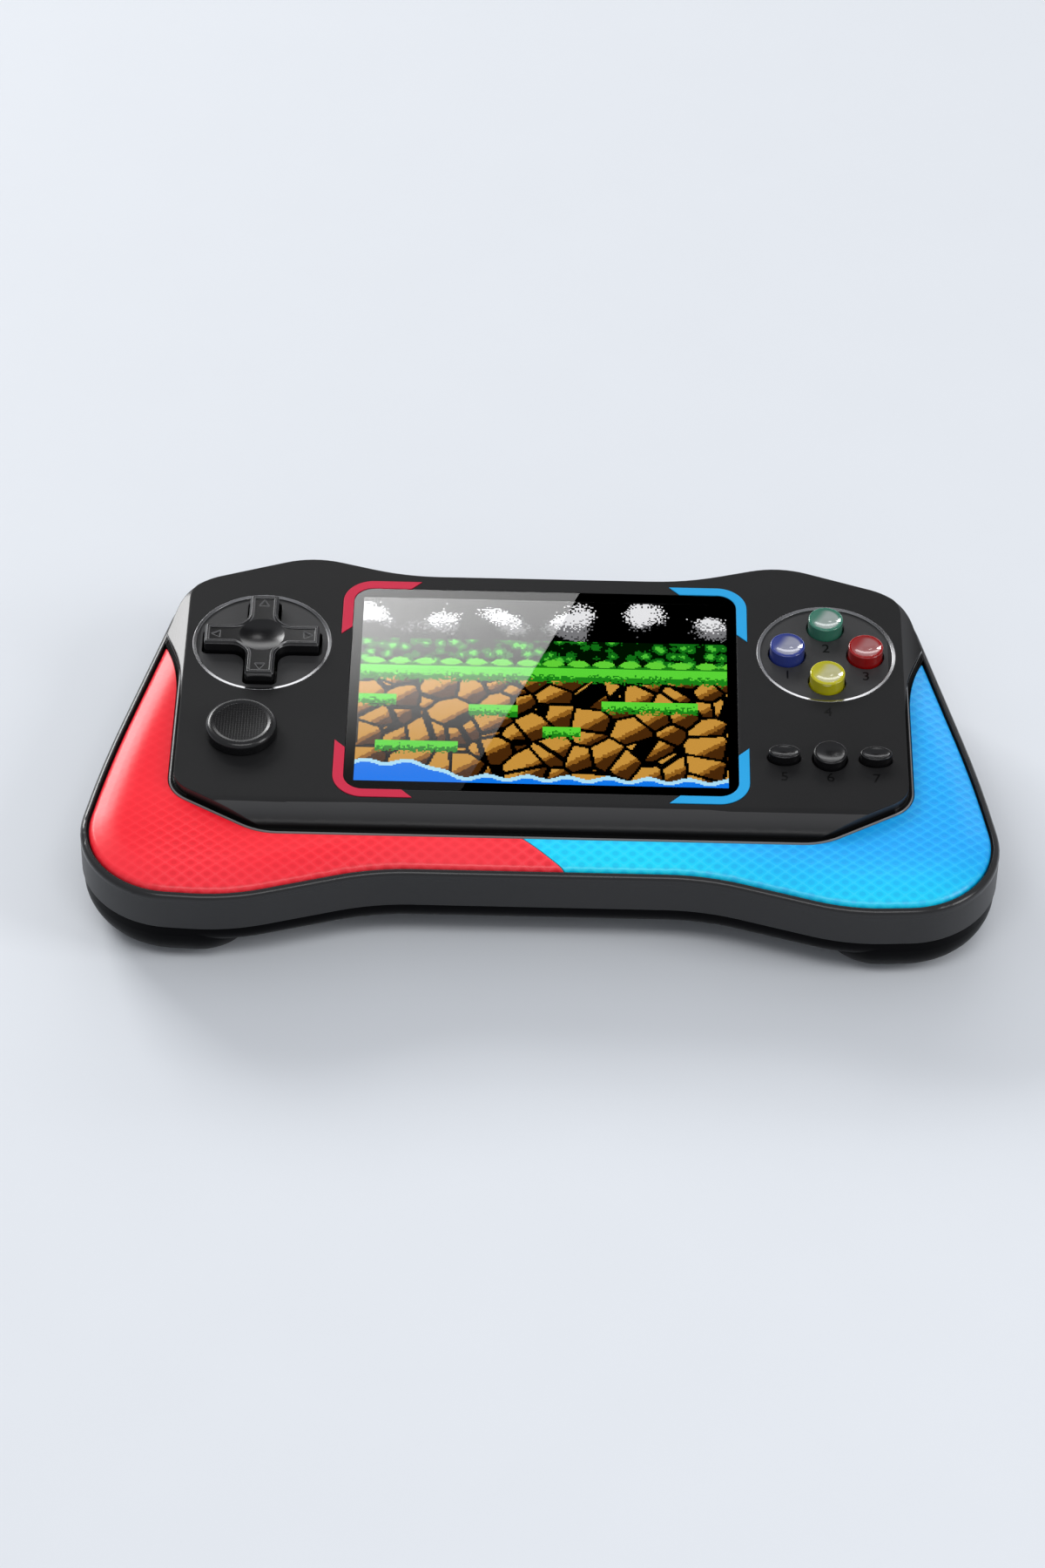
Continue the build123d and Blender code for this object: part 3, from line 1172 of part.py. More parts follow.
# Sockets under the far edge of the board
with BuildPart() as av_jack:
    with BuildSketch(level(BOARD_BOTTOM - JACK_HEIGHT)):
        with Locations((JACK_X, FAR_WALL_INSIDE_Y - SLIDE_GAP)):
            Rectangle(JACK_WIDTH, JACK_DEPTH, align=(Align.CENTER, Align.MAX))
    extrude(amount=JACK_HEIGHT)
    with BuildSketch(facing(FAR_WALL_Y)):
        with Locations((-JACK_X, jack_axis_height)):
            Circle(JACK_NOSE_RADIUS)
    extrude(amount=-WALL - SLIDE_GAP - SEAT_GAP)
    with BuildSketch(facing(FAR_WALL_Y)):
        with Locations((-JACK_X, jack_axis_height)):
            Circle(JACK_BORE_RADIUS)
    extrude(amount=-JACK_BORE_DEPTH, mode=Mode.SUBTRACT)
save(av_jack, "av_jack")

usb_axis_height = BOARD_BOTTOM - USB_HEIGHT / 2
with BuildPart() as usb_port:
    with BuildSketch(facing(FAR_WALL_Y - USB_RECESS)):
        with Locations((-USB_X, usb_axis_height)):
            RectangleRounded(USB_WIDTH, USB_HEIGHT, USB_RADIUS)
    extrude(amount=-USB_DEPTH)
    with BuildSketch(facing(FAR_WALL_Y - USB_RECESS)):
        with Locations((-USB_X, usb_axis_height)):
            RectangleRounded(
                USB_WIDTH - 2 * USB_WALL, USB_HEIGHT - 2 * USB_WALL, USB_RADIUS - USB_WALL
            )
    extrude(amount=-USB_MOUTH_DEPTH, mode=Mode.SUBTRACT)
    with BuildSketch(facing(FAR_WALL_Y - USB_RECESS - USB_DEPTH + USB_WALL)):
        with Locations((-USB_X, usb_axis_height)):
            Rectangle(USB_TONGUE_WIDTH, USB_TONGUE)
    extrude(amount=USB_DEPTH - USB_MOUTH_DEPTH - USB_WALL + USB_TONGUE_LENGTH)
save(usb_port, "usb_port")

# Volume wheel on a pin under a bracket
wheel_y = FAR_WALL_Y + WHEEL_PROUD - WHEEL_RADIUS
wheel_place = (WHEEL_X, wheel_y)
bracket_bottom = BOARD_BOTTOM - WHEEL_BRACKET
wheel_top = bracket_bottom - SEAT_GAP
wheel_bottom = wheel_top - WHEEL_THICKNESS
with BuildPart() as volume_pot:
    with BuildSketch(level(bracket_bottom)):
        with Locations((WHEEL_X, wheel_y - WHEEL_RADIUS / 2)):
            Rectangle(WHEEL_BRACKET_SIZE, WHEEL_BRACKET_SIZE)
    extrude(amount=WHEEL_BRACKET)
    with BuildSketch(raised(wheel_place, bracket_bottom)):
        Circle(WHEEL_PIN_RADIUS)
    extrude(amount=-WHEEL_THICKNESS - SEAT_GAP - SEAT_GAP)
    with BuildSketch(raised(wheel_place, wheel_bottom - SEAT_GAP)):
        Circle(WHEEL_CAP_RADIUS)
    extrude(amount=-WHEEL_CAP)
save(volume_pot, "volume_pot")

with BuildPart() as volume_wheel:
    with BuildSketch(raised(wheel_place, wheel_bottom)):
        Circle(WHEEL_RADIUS)
        Circle(WHEEL_PIN_RADIUS + FIT_GAP, mode=Mode.SUBTRACT)
        with PolarLocations(WHEEL_RADIUS, WHEEL_RIBS):
            Circle(WHEEL_RIB_RADIUS, mode=Mode.SUBTRACT)
    extrude(amount=WHEEL_THICKNESS)
save(volume_wheel, "volume_wheel")

# Power switch and its knob
shutter_far = FAR_WALL_INSIDE_Y - SEAT_GAP
switch_far = shutter_far - SHUTTER_THICKNESS - SEAT_GAP
switch_axis_height = BOARD_BOTTOM - SWITCH_HEIGHT / 2
with BuildPart() as power_switch:
    with BuildSketch(level(BOARD_BOTTOM - SWITCH_HEIGHT)):
        with Locations((SWITCH_X, switch_far)):
            Rectangle(SWITCH_WIDTH, SWITCH_DEPTH, align=(Align.CENTER, Align.MAX))
    extrude(amount=SWITCH_HEIGHT)
    with BuildSketch(facing(switch_far)):
        with Locations((-SWITCH_X, switch_axis_height)):
            Rectangle(KNOB_STEM + SWITCH_TRAVEL + 2 * SLIDE_GAP, KNOB_STEM + 2 * SLIDE_GAP)
    extrude(amount=-KNOB_STEM_LENGTH - SLIDE_GAP, mode=Mode.SUBTRACT)
save(power_switch, "power_switch")

knob_x = SWITCH_X - SWITCH_TRAVEL / 2
with BuildPart() as power_knob:
    with BuildSketch(facing(shutter_far)):
        with Locations((-knob_x, switch_axis_height)):
            Rectangle(SHUTTER_WIDTH, SHUTTER_HEIGHT)
    extrude(amount=-SHUTTER_THICKNESS)
    with BuildSketch(facing(shutter_far)):
        with Locations((-knob_x, switch_axis_height)):
            RectangleRounded(KNOB_TAB_WIDTH, KNOB_TAB_HEIGHT, KNOB_TAB_FILLET)
    extrude(amount=SEAT_GAP + WALL + KNOB_PROUD)
    with BuildSketch(facing(FAR_WALL_Y + KNOB_PROUD)):
        with Locations((-knob_x, switch_axis_height)):
            with GridLocations(2 * KNOB_RIB, 2 * KNOB_RIB, KNOB_RIBS, 1):
                Rectangle(KNOB_RIB, CUT)
    extrude(amount=-KNOB_RIB, mode=Mode.SUBTRACT)
    with BuildSketch(facing(shutter_far - SHUTTER_THICKNESS)):
        with Locations((-knob_x, switch_axis_height)):
            Rectangle(KNOB_STEM, KNOB_STEM)
    extrude(amount=-KNOB_STEM_LENGTH)
save(power_knob, "power_knob")

# Speaker behind the slots of the belly: basket, and a cone in its mouth
with BuildPart() as speaker:
    with BuildSketch(level(BELLY_FLOOR)):
        with Locations(speaker_place):
            Circle(SPEAKER_RADIUS)
    extrude(amount=SPEAKER_HEIGHT)
    with BuildSketch(level(BELLY_FLOOR)):
        with Locations(speaker_place):
            Circle(SPEAKER_RADIUS - SPEAKER_RIM)
    extrude(amount=SPEAKER_CONE_DEPTH, taper=SPEAKER_CONE_SLOPE, mode=Mode.SUBTRACT)
    fillet(speaker.edges().group_by(Axis.Z)[-1], radius=SPEAKER_FILLET)
save(speaker, "speaker")

# Battery, its contacts and its hinged door
with BuildPart() as battery:
    with BuildSketch(level(BATTERY_BOTTOM)):
        with Locations((0, BAY_Y)):
            Rectangle(BATTERY_WIDTH, BATTERY_DEPTH)
    extrude(amount=BATTERY_THICKNESS)
    fillet(battery.edges().filter_by(Axis.Y), radius=BATTERY_FILLET)
save(battery, "battery")

battery_top = BATTERY_BOTTOM + BATTERY_THICKNESS
contact_middle = BAY_Y + CONTACT_Y
with BuildPart() as battery_contacts:
    for step in (-1, 0, 1):
        with BuildSketch(upright(step * CONTACT_PITCH - CONTACT_WIDTH / 2)):
            with BuildLine():
                Polyline(
                    (contact_middle - CONTACT_REACH / 2, BOARD_BOTTOM - CONTACT_STRIP / 2),
                    (contact_middle + CONTACT_REACH / 2, BOARD_BOTTOM - CONTACT_STRIP / 2),
                    (contact_middle + CONTACT_REACH / 2, battery_top + CONTACT_STRIP / 2),
                    (contact_middle - CONTACT_REACH / 2, battery_top + CONTACT_STRIP / 2),
                )
            trace(line_width=CONTACT_STRIP)
        extrude(amount=CONTACT_WIDTH)
save(battery_contacts, "battery_contacts")

door_thickness = DOOR_THICKNESS - SEAT_GAP
with BuildPart() as battery_door:
    with BuildSketch(upright(-DOOR_WIDTH / 2 + DOOR_GAP)):
        with Locations((door_pin_y, door_pin_height)):
            Circle(door_thickness / 2)
        with Locations((door_pin_y, BELLY_HEIGHT)):
            Rectangle(
                DOOR_DEPTH - 2 * DOOR_GAP - door_thickness / 2,
                door_thickness,
                align=(Align.MIN, Align.MIN),
            )
    extrude(amount=DOOR_WIDTH - 2 * DOOR_GAP)
    with BuildSketch(upright(-DOOR_WIDTH / 2 - DOOR_PIN_LENGTH + DOOR_GAP)):
        with Locations((door_pin_y, door_pin_height)):
            Circle(DOOR_PIN_RADIUS)
    extrude(amount=DOOR_WIDTH + 2 * DOOR_PIN_LENGTH - 2 * DOOR_GAP)
    # Ribbed thumb recess near the free edge
    with BuildSketch(level(BELLY_HEIGHT)):
        with Locations((0, door_near + DOOR_DEPTH - DOOR_GRIP_INSET)):
            SlotOverall(4 * DOOR_GRIP_RADIUS, 2 * DOOR_GRIP_RADIUS)
            with GridLocations(2 * DOOR_GRIP_RADIUS, DOOR_GRIP_RADIUS, 1, 3):
                Rectangle(2 * DOOR_GRIP_RADIUS, DOOR_RIB_HEIGHT, mode=Mode.SUBTRACT)
    extrude(amount=DOOR_GRIP_DEPTH, mode=Mode.SUBTRACT)
save(battery_door, "battery_door")

# Screws: six through the shells, four through the board
with BuildPart() as shell_screws:
    with BuildSketch(level(screw_seat)):
        with Locations(*screw_places):
            Circle(SCREW_HEAD_RADIUS)
    extrude(amount=-SCREW_HEAD)
    with BuildSketch(level(screw_seat)):
        with Locations(*screw_places):
            Circle(SCREW_RADIUS)
    extrude(amount=SCREW_LENGTH)
    with BuildSketch(level(screw_seat - SCREW_HEAD)):
        with Locations(*screw_places):
            Rectangle(2 * SCREW_HEAD_RADIUS - SCREW_SOCKET_DEPTH, SCREW_SOCKET_DEPTH)
            Rectangle(SCREW_SOCKET_DEPTH, 2 * SCREW_HEAD_RADIUS - SCREW_SOCKET_DEPTH)
    extrude(amount=SCREW_SOCKET_DEPTH, mode=Mode.SUBTRACT)
save(shell_screws, "shell_screws")

with BuildPart() as board_screws:
    with BuildSketch(level(BOARD_BOTTOM)):
        with Locations(*board_screw_places):
            Circle(BOARD_SCREW_HEAD_RADIUS)
    extrude(amount=-BOARD_SCREW_HEAD)
    with BuildSketch(level(BOARD_BOTTOM)):
        with Locations(*board_screw_places):
            Circle(BOARD_SCREW_RADIUS)
    extrude(amount=BOARD_SCREW_LENGTH)
save(board_screws, "board_screws")
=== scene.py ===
"""Finishes, printed marks, studio and camera for a handheld game console.

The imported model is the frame: each of its nodes gets a finish here, and the pieces that
are too fine for it, the control rings and the numerals, are built round it.
Blender works in metres. The sizes below are in millimetres, and MM turns them into metres.
Places that are read from the frame, the lamps and the floor are in metres.
"""

import logging
import math
from dataclasses import dataclass, field
from enum import Enum

import bmesh
import bpy
from mathutils import Matrix, Vector


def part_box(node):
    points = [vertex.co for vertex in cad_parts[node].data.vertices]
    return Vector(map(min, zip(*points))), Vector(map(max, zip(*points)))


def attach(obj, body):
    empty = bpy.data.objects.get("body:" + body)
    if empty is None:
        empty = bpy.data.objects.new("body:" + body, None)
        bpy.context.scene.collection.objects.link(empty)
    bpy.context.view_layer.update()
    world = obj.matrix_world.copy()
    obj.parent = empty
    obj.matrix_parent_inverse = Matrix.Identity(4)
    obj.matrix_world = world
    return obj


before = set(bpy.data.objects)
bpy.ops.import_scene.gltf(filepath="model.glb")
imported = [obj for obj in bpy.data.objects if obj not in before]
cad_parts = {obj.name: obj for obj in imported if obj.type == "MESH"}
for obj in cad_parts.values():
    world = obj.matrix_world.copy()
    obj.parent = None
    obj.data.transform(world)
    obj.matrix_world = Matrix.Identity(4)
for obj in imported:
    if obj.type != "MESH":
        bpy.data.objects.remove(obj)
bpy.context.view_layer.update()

MM = 0.001
CONSOLE = "console"
log = logging.getLogger(CONSOLE)

Colour = tuple[float, float, float]
Span = tuple[float, float]
Socket = bpy.types.NodeSocket
BLACK: Colour = (0.0, 0.0, 0.0)
WHITE: Colour = (1.0, 1.0, 1.0)
# Sockets of a colour Mix node for its share and its two colours
MIX_SOCKETS = (0, 6, 7)


class Graph:
    """A short way to place nodes in one tree and join them."""

    def __init__(self, tree: bpy.types.NodeTree) -> None:
        """Start on an empty tree.

        Args:
            tree: The node tree of a material or a group.
        """
        self.tree = tree
        tree.nodes.clear()

    def feed(self, target: Socket, value: object) -> None:
        """Join a socket to another, or set its value.

        Args:
            target: The input socket.
            value: An output socket, a number, a vector or a colour.
        """
        if isinstance(value, bpy.types.NodeSocket):
            self.tree.links.new(value, target)
        elif target.type == "RGBA" and len(value) == 3:
            target.default_value = (*value, 1.0)
        else:
            target.default_value = value

    def node(self, kind: str, inputs: dict | None = None, **settings: object) -> bpy.types.Node:
        """Place a node.

        Args:
            kind: The node's type name without its ShaderNode prefix.
            inputs: Values or sockets by input name or index.
            settings: Attributes of the node.

        Returns:
            The node.
        """
        prefix = "" if kind.startswith("NodeGroup") else "ShaderNode"
        placed = self.tree.nodes.new(prefix + kind)
        for name, value in settings.items():
            setattr(placed, name, value)
        for key, value in (inputs or {}).items():
            self.feed(placed.inputs[key], value)
        return placed

    def math(self, operation: str, *values: object, clamp: bool = False) -> Socket:
        """A sum, comparison or other operation on up to three values.

        Args:
            operation: Name of the operation, such as ADD.
            values: What it works on.
            clamp: Whether the result is kept from 0 to 1.

        Returns:
            The result's socket.
        """
        inputs = dict(enumerate(values))
        return self.node("Math", inputs, operation=operation, use_clamp=clamp).outputs[0]

    def times(self, *factors: object) -> Socket:
        """A product.

        Args:
            factors: Two or more values.

        Returns:
            The product's socket.
        """
        product = factors[0]
        for factor in factors[1:]:
            product = self.math("MULTIPLY", product, factor)
        return product

    def vector(self, operation: str, *values: object) -> Socket:
        """An operation on vectors.

        Args:
            operation: Name of the operation, such as SUBTRACT.
            values: What it works on.

        Returns:
            The result: a number for LENGTH and DOT_PRODUCT, or else a vector.
        """
        placed = self.node("VectorMath", dict(enumerate(values)), operation=operation)
        number = operation in ("LENGTH", "DOT_PRODUCT")
        return placed.outputs["Value" if number else "Vector"]

    def mix(self, share: object, first: object, second: object) -> Socket:
        """A mix of two colours.

        Args:
            share: Share of the second colour, from 0 to 1.
            first: Colour at share 0.
            second: Colour at share 1.

        Returns:
            The mixed colour's socket.
        """
        inputs = dict(zip(MIX_SOCKETS, (share, first, second)))
        return self.node("Mix", data_type="RGBA", inputs=inputs).outputs[2]

    def blend(self, share: object, first: object, second: object) -> Socket:
        """A mix of two numbers.

        Args:
            share: Share of the second number, from 0 to 1.
            first: Number at share 0.
            second: Number at share 1.

        Returns:
            The mixed number's socket.
        """
        return self.math("MULTIPLY_ADD", share, self.math("SUBTRACT", second, first), first)

    def between(self, value: object, low: object, high: object) -> Socket:
        """1 where a value lies between two limits, else 0.

        Args:
            value: The value that is tested.
            low: Lower limit.
            high: Upper limit.

        Returns:
            The mask's socket.
        """
        above = self.math("GREATER_THAN", value, low)
        return self.times(above, self.math("LESS_THAN", value, high))

    def ramp(self, value: object, span: Span, unit: float = 1.0) -> Socket:
        """A smooth step from 0 at one value to 1 at another.

        Args:
            value: The value that is mapped.
            span: Where the step starts and where it ends.
            unit: What the span is measured in.

        Returns:
            The step's socket.
        """
        inputs = {"Value": value, "From Min": span[0] * unit, "From Max": span[1] * unit}
        return self.node("MapRange", inputs, interpolation_type="SMOOTHSTEP").outputs["Result"]

    def noise(self, place: Socket, scale: float, detail: float = 0.0) -> Socket:
        """Even noise.

        Args:
            place: Where it is read.
            scale: How fine it is.
            detail: How many finer layers it has.

        Returns:
            The noise's socket.
        """
        inputs = {"Vector": place, "Scale": scale, "Detail": detail}
        return self.node("TexNoise", inputs).outputs["Fac"]

    def split(self, place: Socket) -> list[Socket]:
        """The x, y and z of a place."""
        return list(self.node("SeparateXYZ", {0: place}).outputs)

    def flat(self, place: Socket, middle: tuple[float, ...]) -> Socket:
        """A place in plan, measured from a middle.

        Args:
            place: The place.
            middle: The x and y of the middle.

        Returns:
            The place's socket, with no height.
        """
        moved = self.vector("SUBTRACT", place, (middle[0], middle[1], 0.0))
        return self.vector("MULTIPLY", moved, (1.0, 1.0, 0.0))

    def position(self) -> Socket:
        """The place on the object, in metres, in the row frame."""
        return self.node("TexCoord").outputs["Object"]


class Effect(Enum):
    """Shader groups that several finishes share."""

    GRAIN = "Moulded grain"
    DIAMONDS = "Diamond relief"
    GRID = "Square grid relief"


class EffectLibrary:
    """Builds each shared group once."""

    grain_scale = 3000.0
    tone_scale = 45.0
    diamond_slant = 0.8
    dent_span = (0.4, 0.85)
    lattice_span = (0.2, 0.05)
    pyramid_span = (0.05, 0.3)

    def __init__(self) -> None:
        """Start with no groups."""
        self.groups: dict[Effect, bpy.types.NodeTree] = {}

    def get(self, effect: Effect) -> bpy.types.NodeTree:
        """The group of an effect, built at first use.

        Args:
            effect: The effect that is wanted.

        Returns:
            The group's node tree.
        """
        if effect not in self.groups:
            makers = {
                Effect.GRAIN: self._grain,
                Effect.DIAMONDS: self._diamonds,
                Effect.GRID: self._grid,
            }
            self.groups[effect] = makers[effect]()
        return self.groups[effect]

    def _start(
        self, effect: Effect, numbers: tuple[str, ...], results: tuple[str, ...]
    ) -> tuple[Graph, bpy.types.bpy_prop_collection, bpy.types.bpy_prop_collection]:
        """Make an empty group that takes a place.

        Args:
            effect: Names the group.
            numbers: The numbers that the material sets.
            results: The numbers that the material reads.

        Returns:
            The group's graph, what it is given, and where its results go.
        """
        tree = bpy.data.node_groups.new(effect.value, "ShaderNodeTree")
        sockets = [("Place", "INPUT", "NodeSocketVector")]
        sockets += [(name, "INPUT", "NodeSocketFloat") for name in numbers]
        sockets += [(name, "OUTPUT", "NodeSocketFloat") for name in results]
        for name, way, kind in sockets:
            tree.interface.new_socket(name, in_out=way, socket_type=kind)
        graph = Graph(tree)
        return graph, graph.node("NodeGroupInput").outputs, graph.node("NodeGroupOutput").inputs

    def _grain(self) -> bpy.types.NodeTree:
        """Fine spark-eroded grain with soft, larger patches of tone.

        Returns:
            The group's node tree.
        """
        graph, given, result = self._start(Effect.GRAIN, (), ("Height", "Tone"))
        graph.feed(result["Height"], graph.noise(given["Place"], self.grain_scale, 2.0))
        graph.feed(result["Tone"], graph.noise(given["Place"], self.tone_scale, 3.0))
        return graph.tree

    def _diamonds(self) -> bpy.types.NodeTree:
        """Staggered diamond dents across the plan, and the lattice between them.

        Returns:
            The group's node tree.
        """
        graph, given, result = self._start(Effect.DIAMONDS, ("Pitch",), ("Depth", "Lattice"))
        x, y, _ = graph.split(given["Place"])
        across = graph.times(x, self.diamond_slant)
        turns = graph.math("DIVIDE", math.pi, given["Pitch"])
        rising = graph.times(graph.math("ADD", across, y), turns)
        falling = graph.times(graph.math("SUBTRACT", across, y), turns)
        waves = graph.times(graph.math("SINE", rising), graph.math("SINE", falling))
        level = graph.math("ABSOLUTE", waves)
        graph.feed(result["Depth"], graph.ramp(level, self.dent_span))
        graph.feed(result["Lattice"], graph.ramp(level, self.lattice_span))
        return graph.tree

    def _grid(self) -> bpy.types.NodeTree:
        """Small square pyramids in straight rows.

        Returns:
            The group's node tree.
        """
        graph, given, result = self._start(Effect.GRID, ("Pitch",), ("Height",))
        rows = [
            graph.math("PINGPONG", graph.math("DIVIDE", side, given["Pitch"]), 0.5)
            for side in graph.split(given["Place"])[:2]
        ]
        graph.feed(result["Height"], graph.ramp(graph.math("MINIMUM", *rows), self.pyramid_span))
        return graph.tree


EFFECTS = EffectLibrary()


@dataclass(frozen=True)
class Surface:
    """What the hooks of a finish work with."""

    graph: Graph
    place: Socket
    tone: Socket
    grain: Socket
    rough: Socket


@dataclass(frozen=True)
class Finish:
    """A moulded, printed or metal surface with fine grain and rounded edges."""

    name: str
    colour: Colour
    roughness: float
    metallic: float = 0.0
    coat: float = 0.0
    coat_roughness: float = 0.06
    specular: float = 0.5
    grain: float = 0.04
    tone: float = 0.12
    edge: float = 0.0
    relief_strength: float = 0.0
    relief_height: float = 0.05

    def material(self) -> bpy.types.Material:
        """The finish as a material, made at first use.

        Returns:
            The material.
        """
        known = bpy.data.materials.get(self.name)
        if known:
            return known
        made = bpy.data.materials.new(self.name)
        made.use_nodes = True
        graph = Graph(made.node_tree)
        place = graph.position()
        group = graph.node("Group", {"Place": place}, node_tree=EFFECTS.get(Effect.GRAIN))
        tone = group.outputs["Tone"]
        spread = graph.times(graph.math("SUBTRACT", tone, 0.5), self.tone)
        rough = graph.math("ADD", spread, self.roughness, clamp=True)
        on = Surface(graph, place, tone, group.outputs["Height"], rough)
        bump = {
            "Height": self.relief(on),
            "Distance": self.relief_height * MM,
            "Strength": self.relief_strength or self.grain,
        }
        if self.edge:
            rounded = graph.node("Bevel", {"Radius": self.edge * MM}, samples=4)
            bump["Normal"] = rounded.outputs[0]
        inputs = {
            "Base Color": self.paint(on),
            "Roughness": self.polish(on),
            "Metallic": self.metallic,
            "Coat Weight": self.coat,
            "Coat Roughness": self.coat_roughness,
            "Specular IOR Level": self.shine(on),
            "Normal": graph.node("Bump", bump).outputs[0],
        }
        shader = graph.node("BsdfPrincipled", inputs)
        self.dress(on, shader)
        graph.node("OutputMaterial", {"Surface": shader.outputs[0]})
        made.diffuse_color = (*self.colour, 1.0)
        return made

    def paint(self, on: Surface) -> object:
        """The base colour, with slightly lighter and darker patches.

        Args:
            on: The surface.

        Returns:
            The colour's socket.
        """
        darker = tuple(part * (1.0 - self.tone) for part in self.colour)
        return on.graph.mix(on.tone, darker, self.colour)

    def relief(self, on: Surface) -> Socket:
        """The height that the bump uses: the shared grain."""
        return on.grain

    def polish(self, on: Surface) -> Socket:
        """The roughness, the same all over."""
        return on.rough

    def shine(self, on: Surface) -> object:
        """The strength of reflections, the same all over."""
        return self.specular

    def dress(self, on: Surface, shader: bpy.types.Node) -> None:
        """Hook for what a special finish adds to its shader.

        Args:
            on: The surface.
            shader: The Principled node.
        """


@dataclass(frozen=True)
class GripFinish(Finish):
    """Coloured soft-touch panel with diamond dents that fade in and out; painted highlight along
    its near edge and on the lattice, painted shade in the dents.
    """

    # Colour of the painted shade in the dents
    dent: Colour = BLACK
    # Colour of the painted highlight along the near edge
    glow: Colour = BLACK
    # Colour of the painted highlight on the lattice between dents
    line: Colour = BLACK
    pitch: float = 2.5
    relief_strength: float = 0.35
    dent_share: float = 0.4
    line_share: float = 0.34
    outer_share: float = 0.0
    glow_share: float = 0.9
    least_share: float = 0.2
    patch_scale: float = 24.0
    patch_span: Span = (0.34, 0.56)
    near_span: Span = (-14.0, -36.0)
    inner_span: Span = (80.0, 62.0)
    outer_span: Span = (60.0, 68.0)
    waist_span: Span = (50.0, 15.0)
    waist_reach: float = 12.0
    glow_span: Span = (-28.0, -49.0)

    def _dents(self, on: Surface) -> tuple[Socket, Socket]:
        """The shared diamonds, strongest in broad patches of the near side.

        Args:
            on: The surface.

        Returns:
            How deep the dent is, and how near the lattice between dents, from 0 to 1.
        """
        graph = on.graph
        inputs = {"Place": on.place, "Pitch": self.pitch * MM}
        group = graph.node("Group", inputs, node_tree=EFFECTS.get(Effect.DIAMONDS))
        x, y, _ = graph.split(on.place)
        away = graph.math("ABSOLUTE", x)
        patch = graph.ramp(graph.noise(on.place, self.patch_scale), self.patch_span)
        near = graph.ramp(y, self.near_span, MM)
        inner = graph.times(patch, near, graph.ramp(away, self.inner_span, MM))
        outer = graph.times(graph.ramp(away, self.outer_span, MM), self.outer_share)
        strong = graph.math("MAXIMUM", inner, outer)
        fade = graph.math("MULTIPLY_ADD", strong, 1.0 - self.least_share, self.least_share)
        depth, lattice = group.outputs["Depth"], group.outputs["Lattice"]
        return graph.times(depth, fade), graph.times(lattice, fade)

    def paint(self, on: Surface) -> Socket:
        """The panel's colour, with a painted highlight along the near edge and on the lattice, and
        painted shade in the dents.

        Args:
            on: The surface.

        Returns:
            The colour's socket.
        """
        graph = on.graph
        x, y, _ = graph.split(on.place)
        waist = graph.ramp(graph.math("ABSOLUTE", x), self.waist_span, MM)
        reach = graph.math("MULTIPLY_ADD", waist, -self.waist_reach * MM, y)
        near = graph.ramp(reach, self.glow_span, MM)
        # Painted highlight along the near edge, reaching further in at the waist
        base = graph.mix(graph.times(near, self.glow_share), super().paint(on), self.glow)
        depth, lattice = self._dents(on)
        # Painted highlight on the lattice between dents
        base = graph.mix(graph.times(lattice, self.line_share), base, self.line)
        # Painted shade in the dents
        return graph.mix(graph.times(depth, self.dent_share), base, self.dent)

    def relief(self, on: Surface) -> Socket:
        """The dents, with a little grain."""
        grain = on.graph.times(on.grain, self.grain)
        return on.graph.math("SUBTRACT", grain, self._dents(on)[0])


@dataclass(frozen=True)
class PlateFinish(Finish):
    """Matt face plate, whose lip falls from a painted highlight to painted shade, over a bead with
    a painted highlight.

    The lip's flanks, far from the middle line, are polished.
    """

    flank_start: float = 66.0
    flank_roughness: float = 0.2
    lip_top: float = 22.15
    # Lip colours: a painted highlight at the top, falling to painted shade at the foot
    lip_colour: Colour = (0.034, 0.034, 0.035)
    foot_colour: Colour = (0.002, 0.002, 0.002)
    foot_specular: float = 0.06
    face_specular: float = 0.13
    bead_span: Span = (19.75, 20.27)
    # Colour of the painted highlight on the bead
    bead_colour: Colour = (0.2, 0.2, 0.2)

    def _zones(self, on: Surface) -> tuple[Socket, Socket, Socket]:
        """Where the flanks and the lip are.

        Args:
            on: The surface.

        Returns:
            1 beside the middle, 1 below the face, and the rise up the lip from 0 to 1.
        """
        graph = on.graph
        x, _, height = graph.split(on.place)
        beside = graph.math("GREATER_THAN", graph.math("ABSOLUTE", x), self.flank_start * MM)
        below = graph.math("LESS_THAN", height, self.lip_top * MM)
        return beside, below, graph.ramp(height, (self.bead_span[1], self.lip_top), MM)

    def paint(self, on: Surface) -> Socket:
        """The plate's colour, with the painted highlight and shade on the lip and the painted
        highlight on the bead.

        Args:
            on: The surface.

        Returns:
            The colour's socket.
        """
        graph = on.graph
        _, below, rise = self._zones(on)
        # The lip falls from a painted highlight to painted shade at its foot
        lip = graph.mix(rise, self.foot_colour, self.lip_colour)
        face = graph.mix(below, super().paint(on), lip)
        # Painted highlight on the bead
        low, high = self.bead_span
        bead = graph.between(graph.split(on.place)[2], low * MM, high * MM)
        return graph.mix(bead, face, self.bead_colour)

    def polish(self, on: Surface) -> Socket:
        """The roughness, lower on the flanks."""
        beside, below, _ = self._zones(on)
        return on.graph.blend(on.graph.times(beside, below), on.rough, self.flank_roughness)

    def shine(self, on: Surface) -> Socket:
        """The strength of reflections, low on the face and at the lip's foot.

        Args:
            on: The surface.

        Returns:
            The strength's socket.
        """
        beside, below, rise = self._zones(on)
        bright = on.graph.math("MAXIMUM", rise, beside)
        level = on.graph.blend(bright, self.foot_specular, self.specular)
        return on.graph.blend(below, self.face_specular, level)


@dataclass(frozen=True)
class WallFinish(Finish):
    """Satin wall with a polished rim along its top."""

    rim_low: float = 17.2
    rim_roughness: float = 0.2

    def polish(self, on: Surface) -> Socket:
        """The roughness, lower on the rim."""
        rim = on.graph.math("GREATER_THAN", on.graph.split(on.place)[2], self.rim_low * MM)
        return on.graph.blend(rim, on.rough, self.rim_roughness)


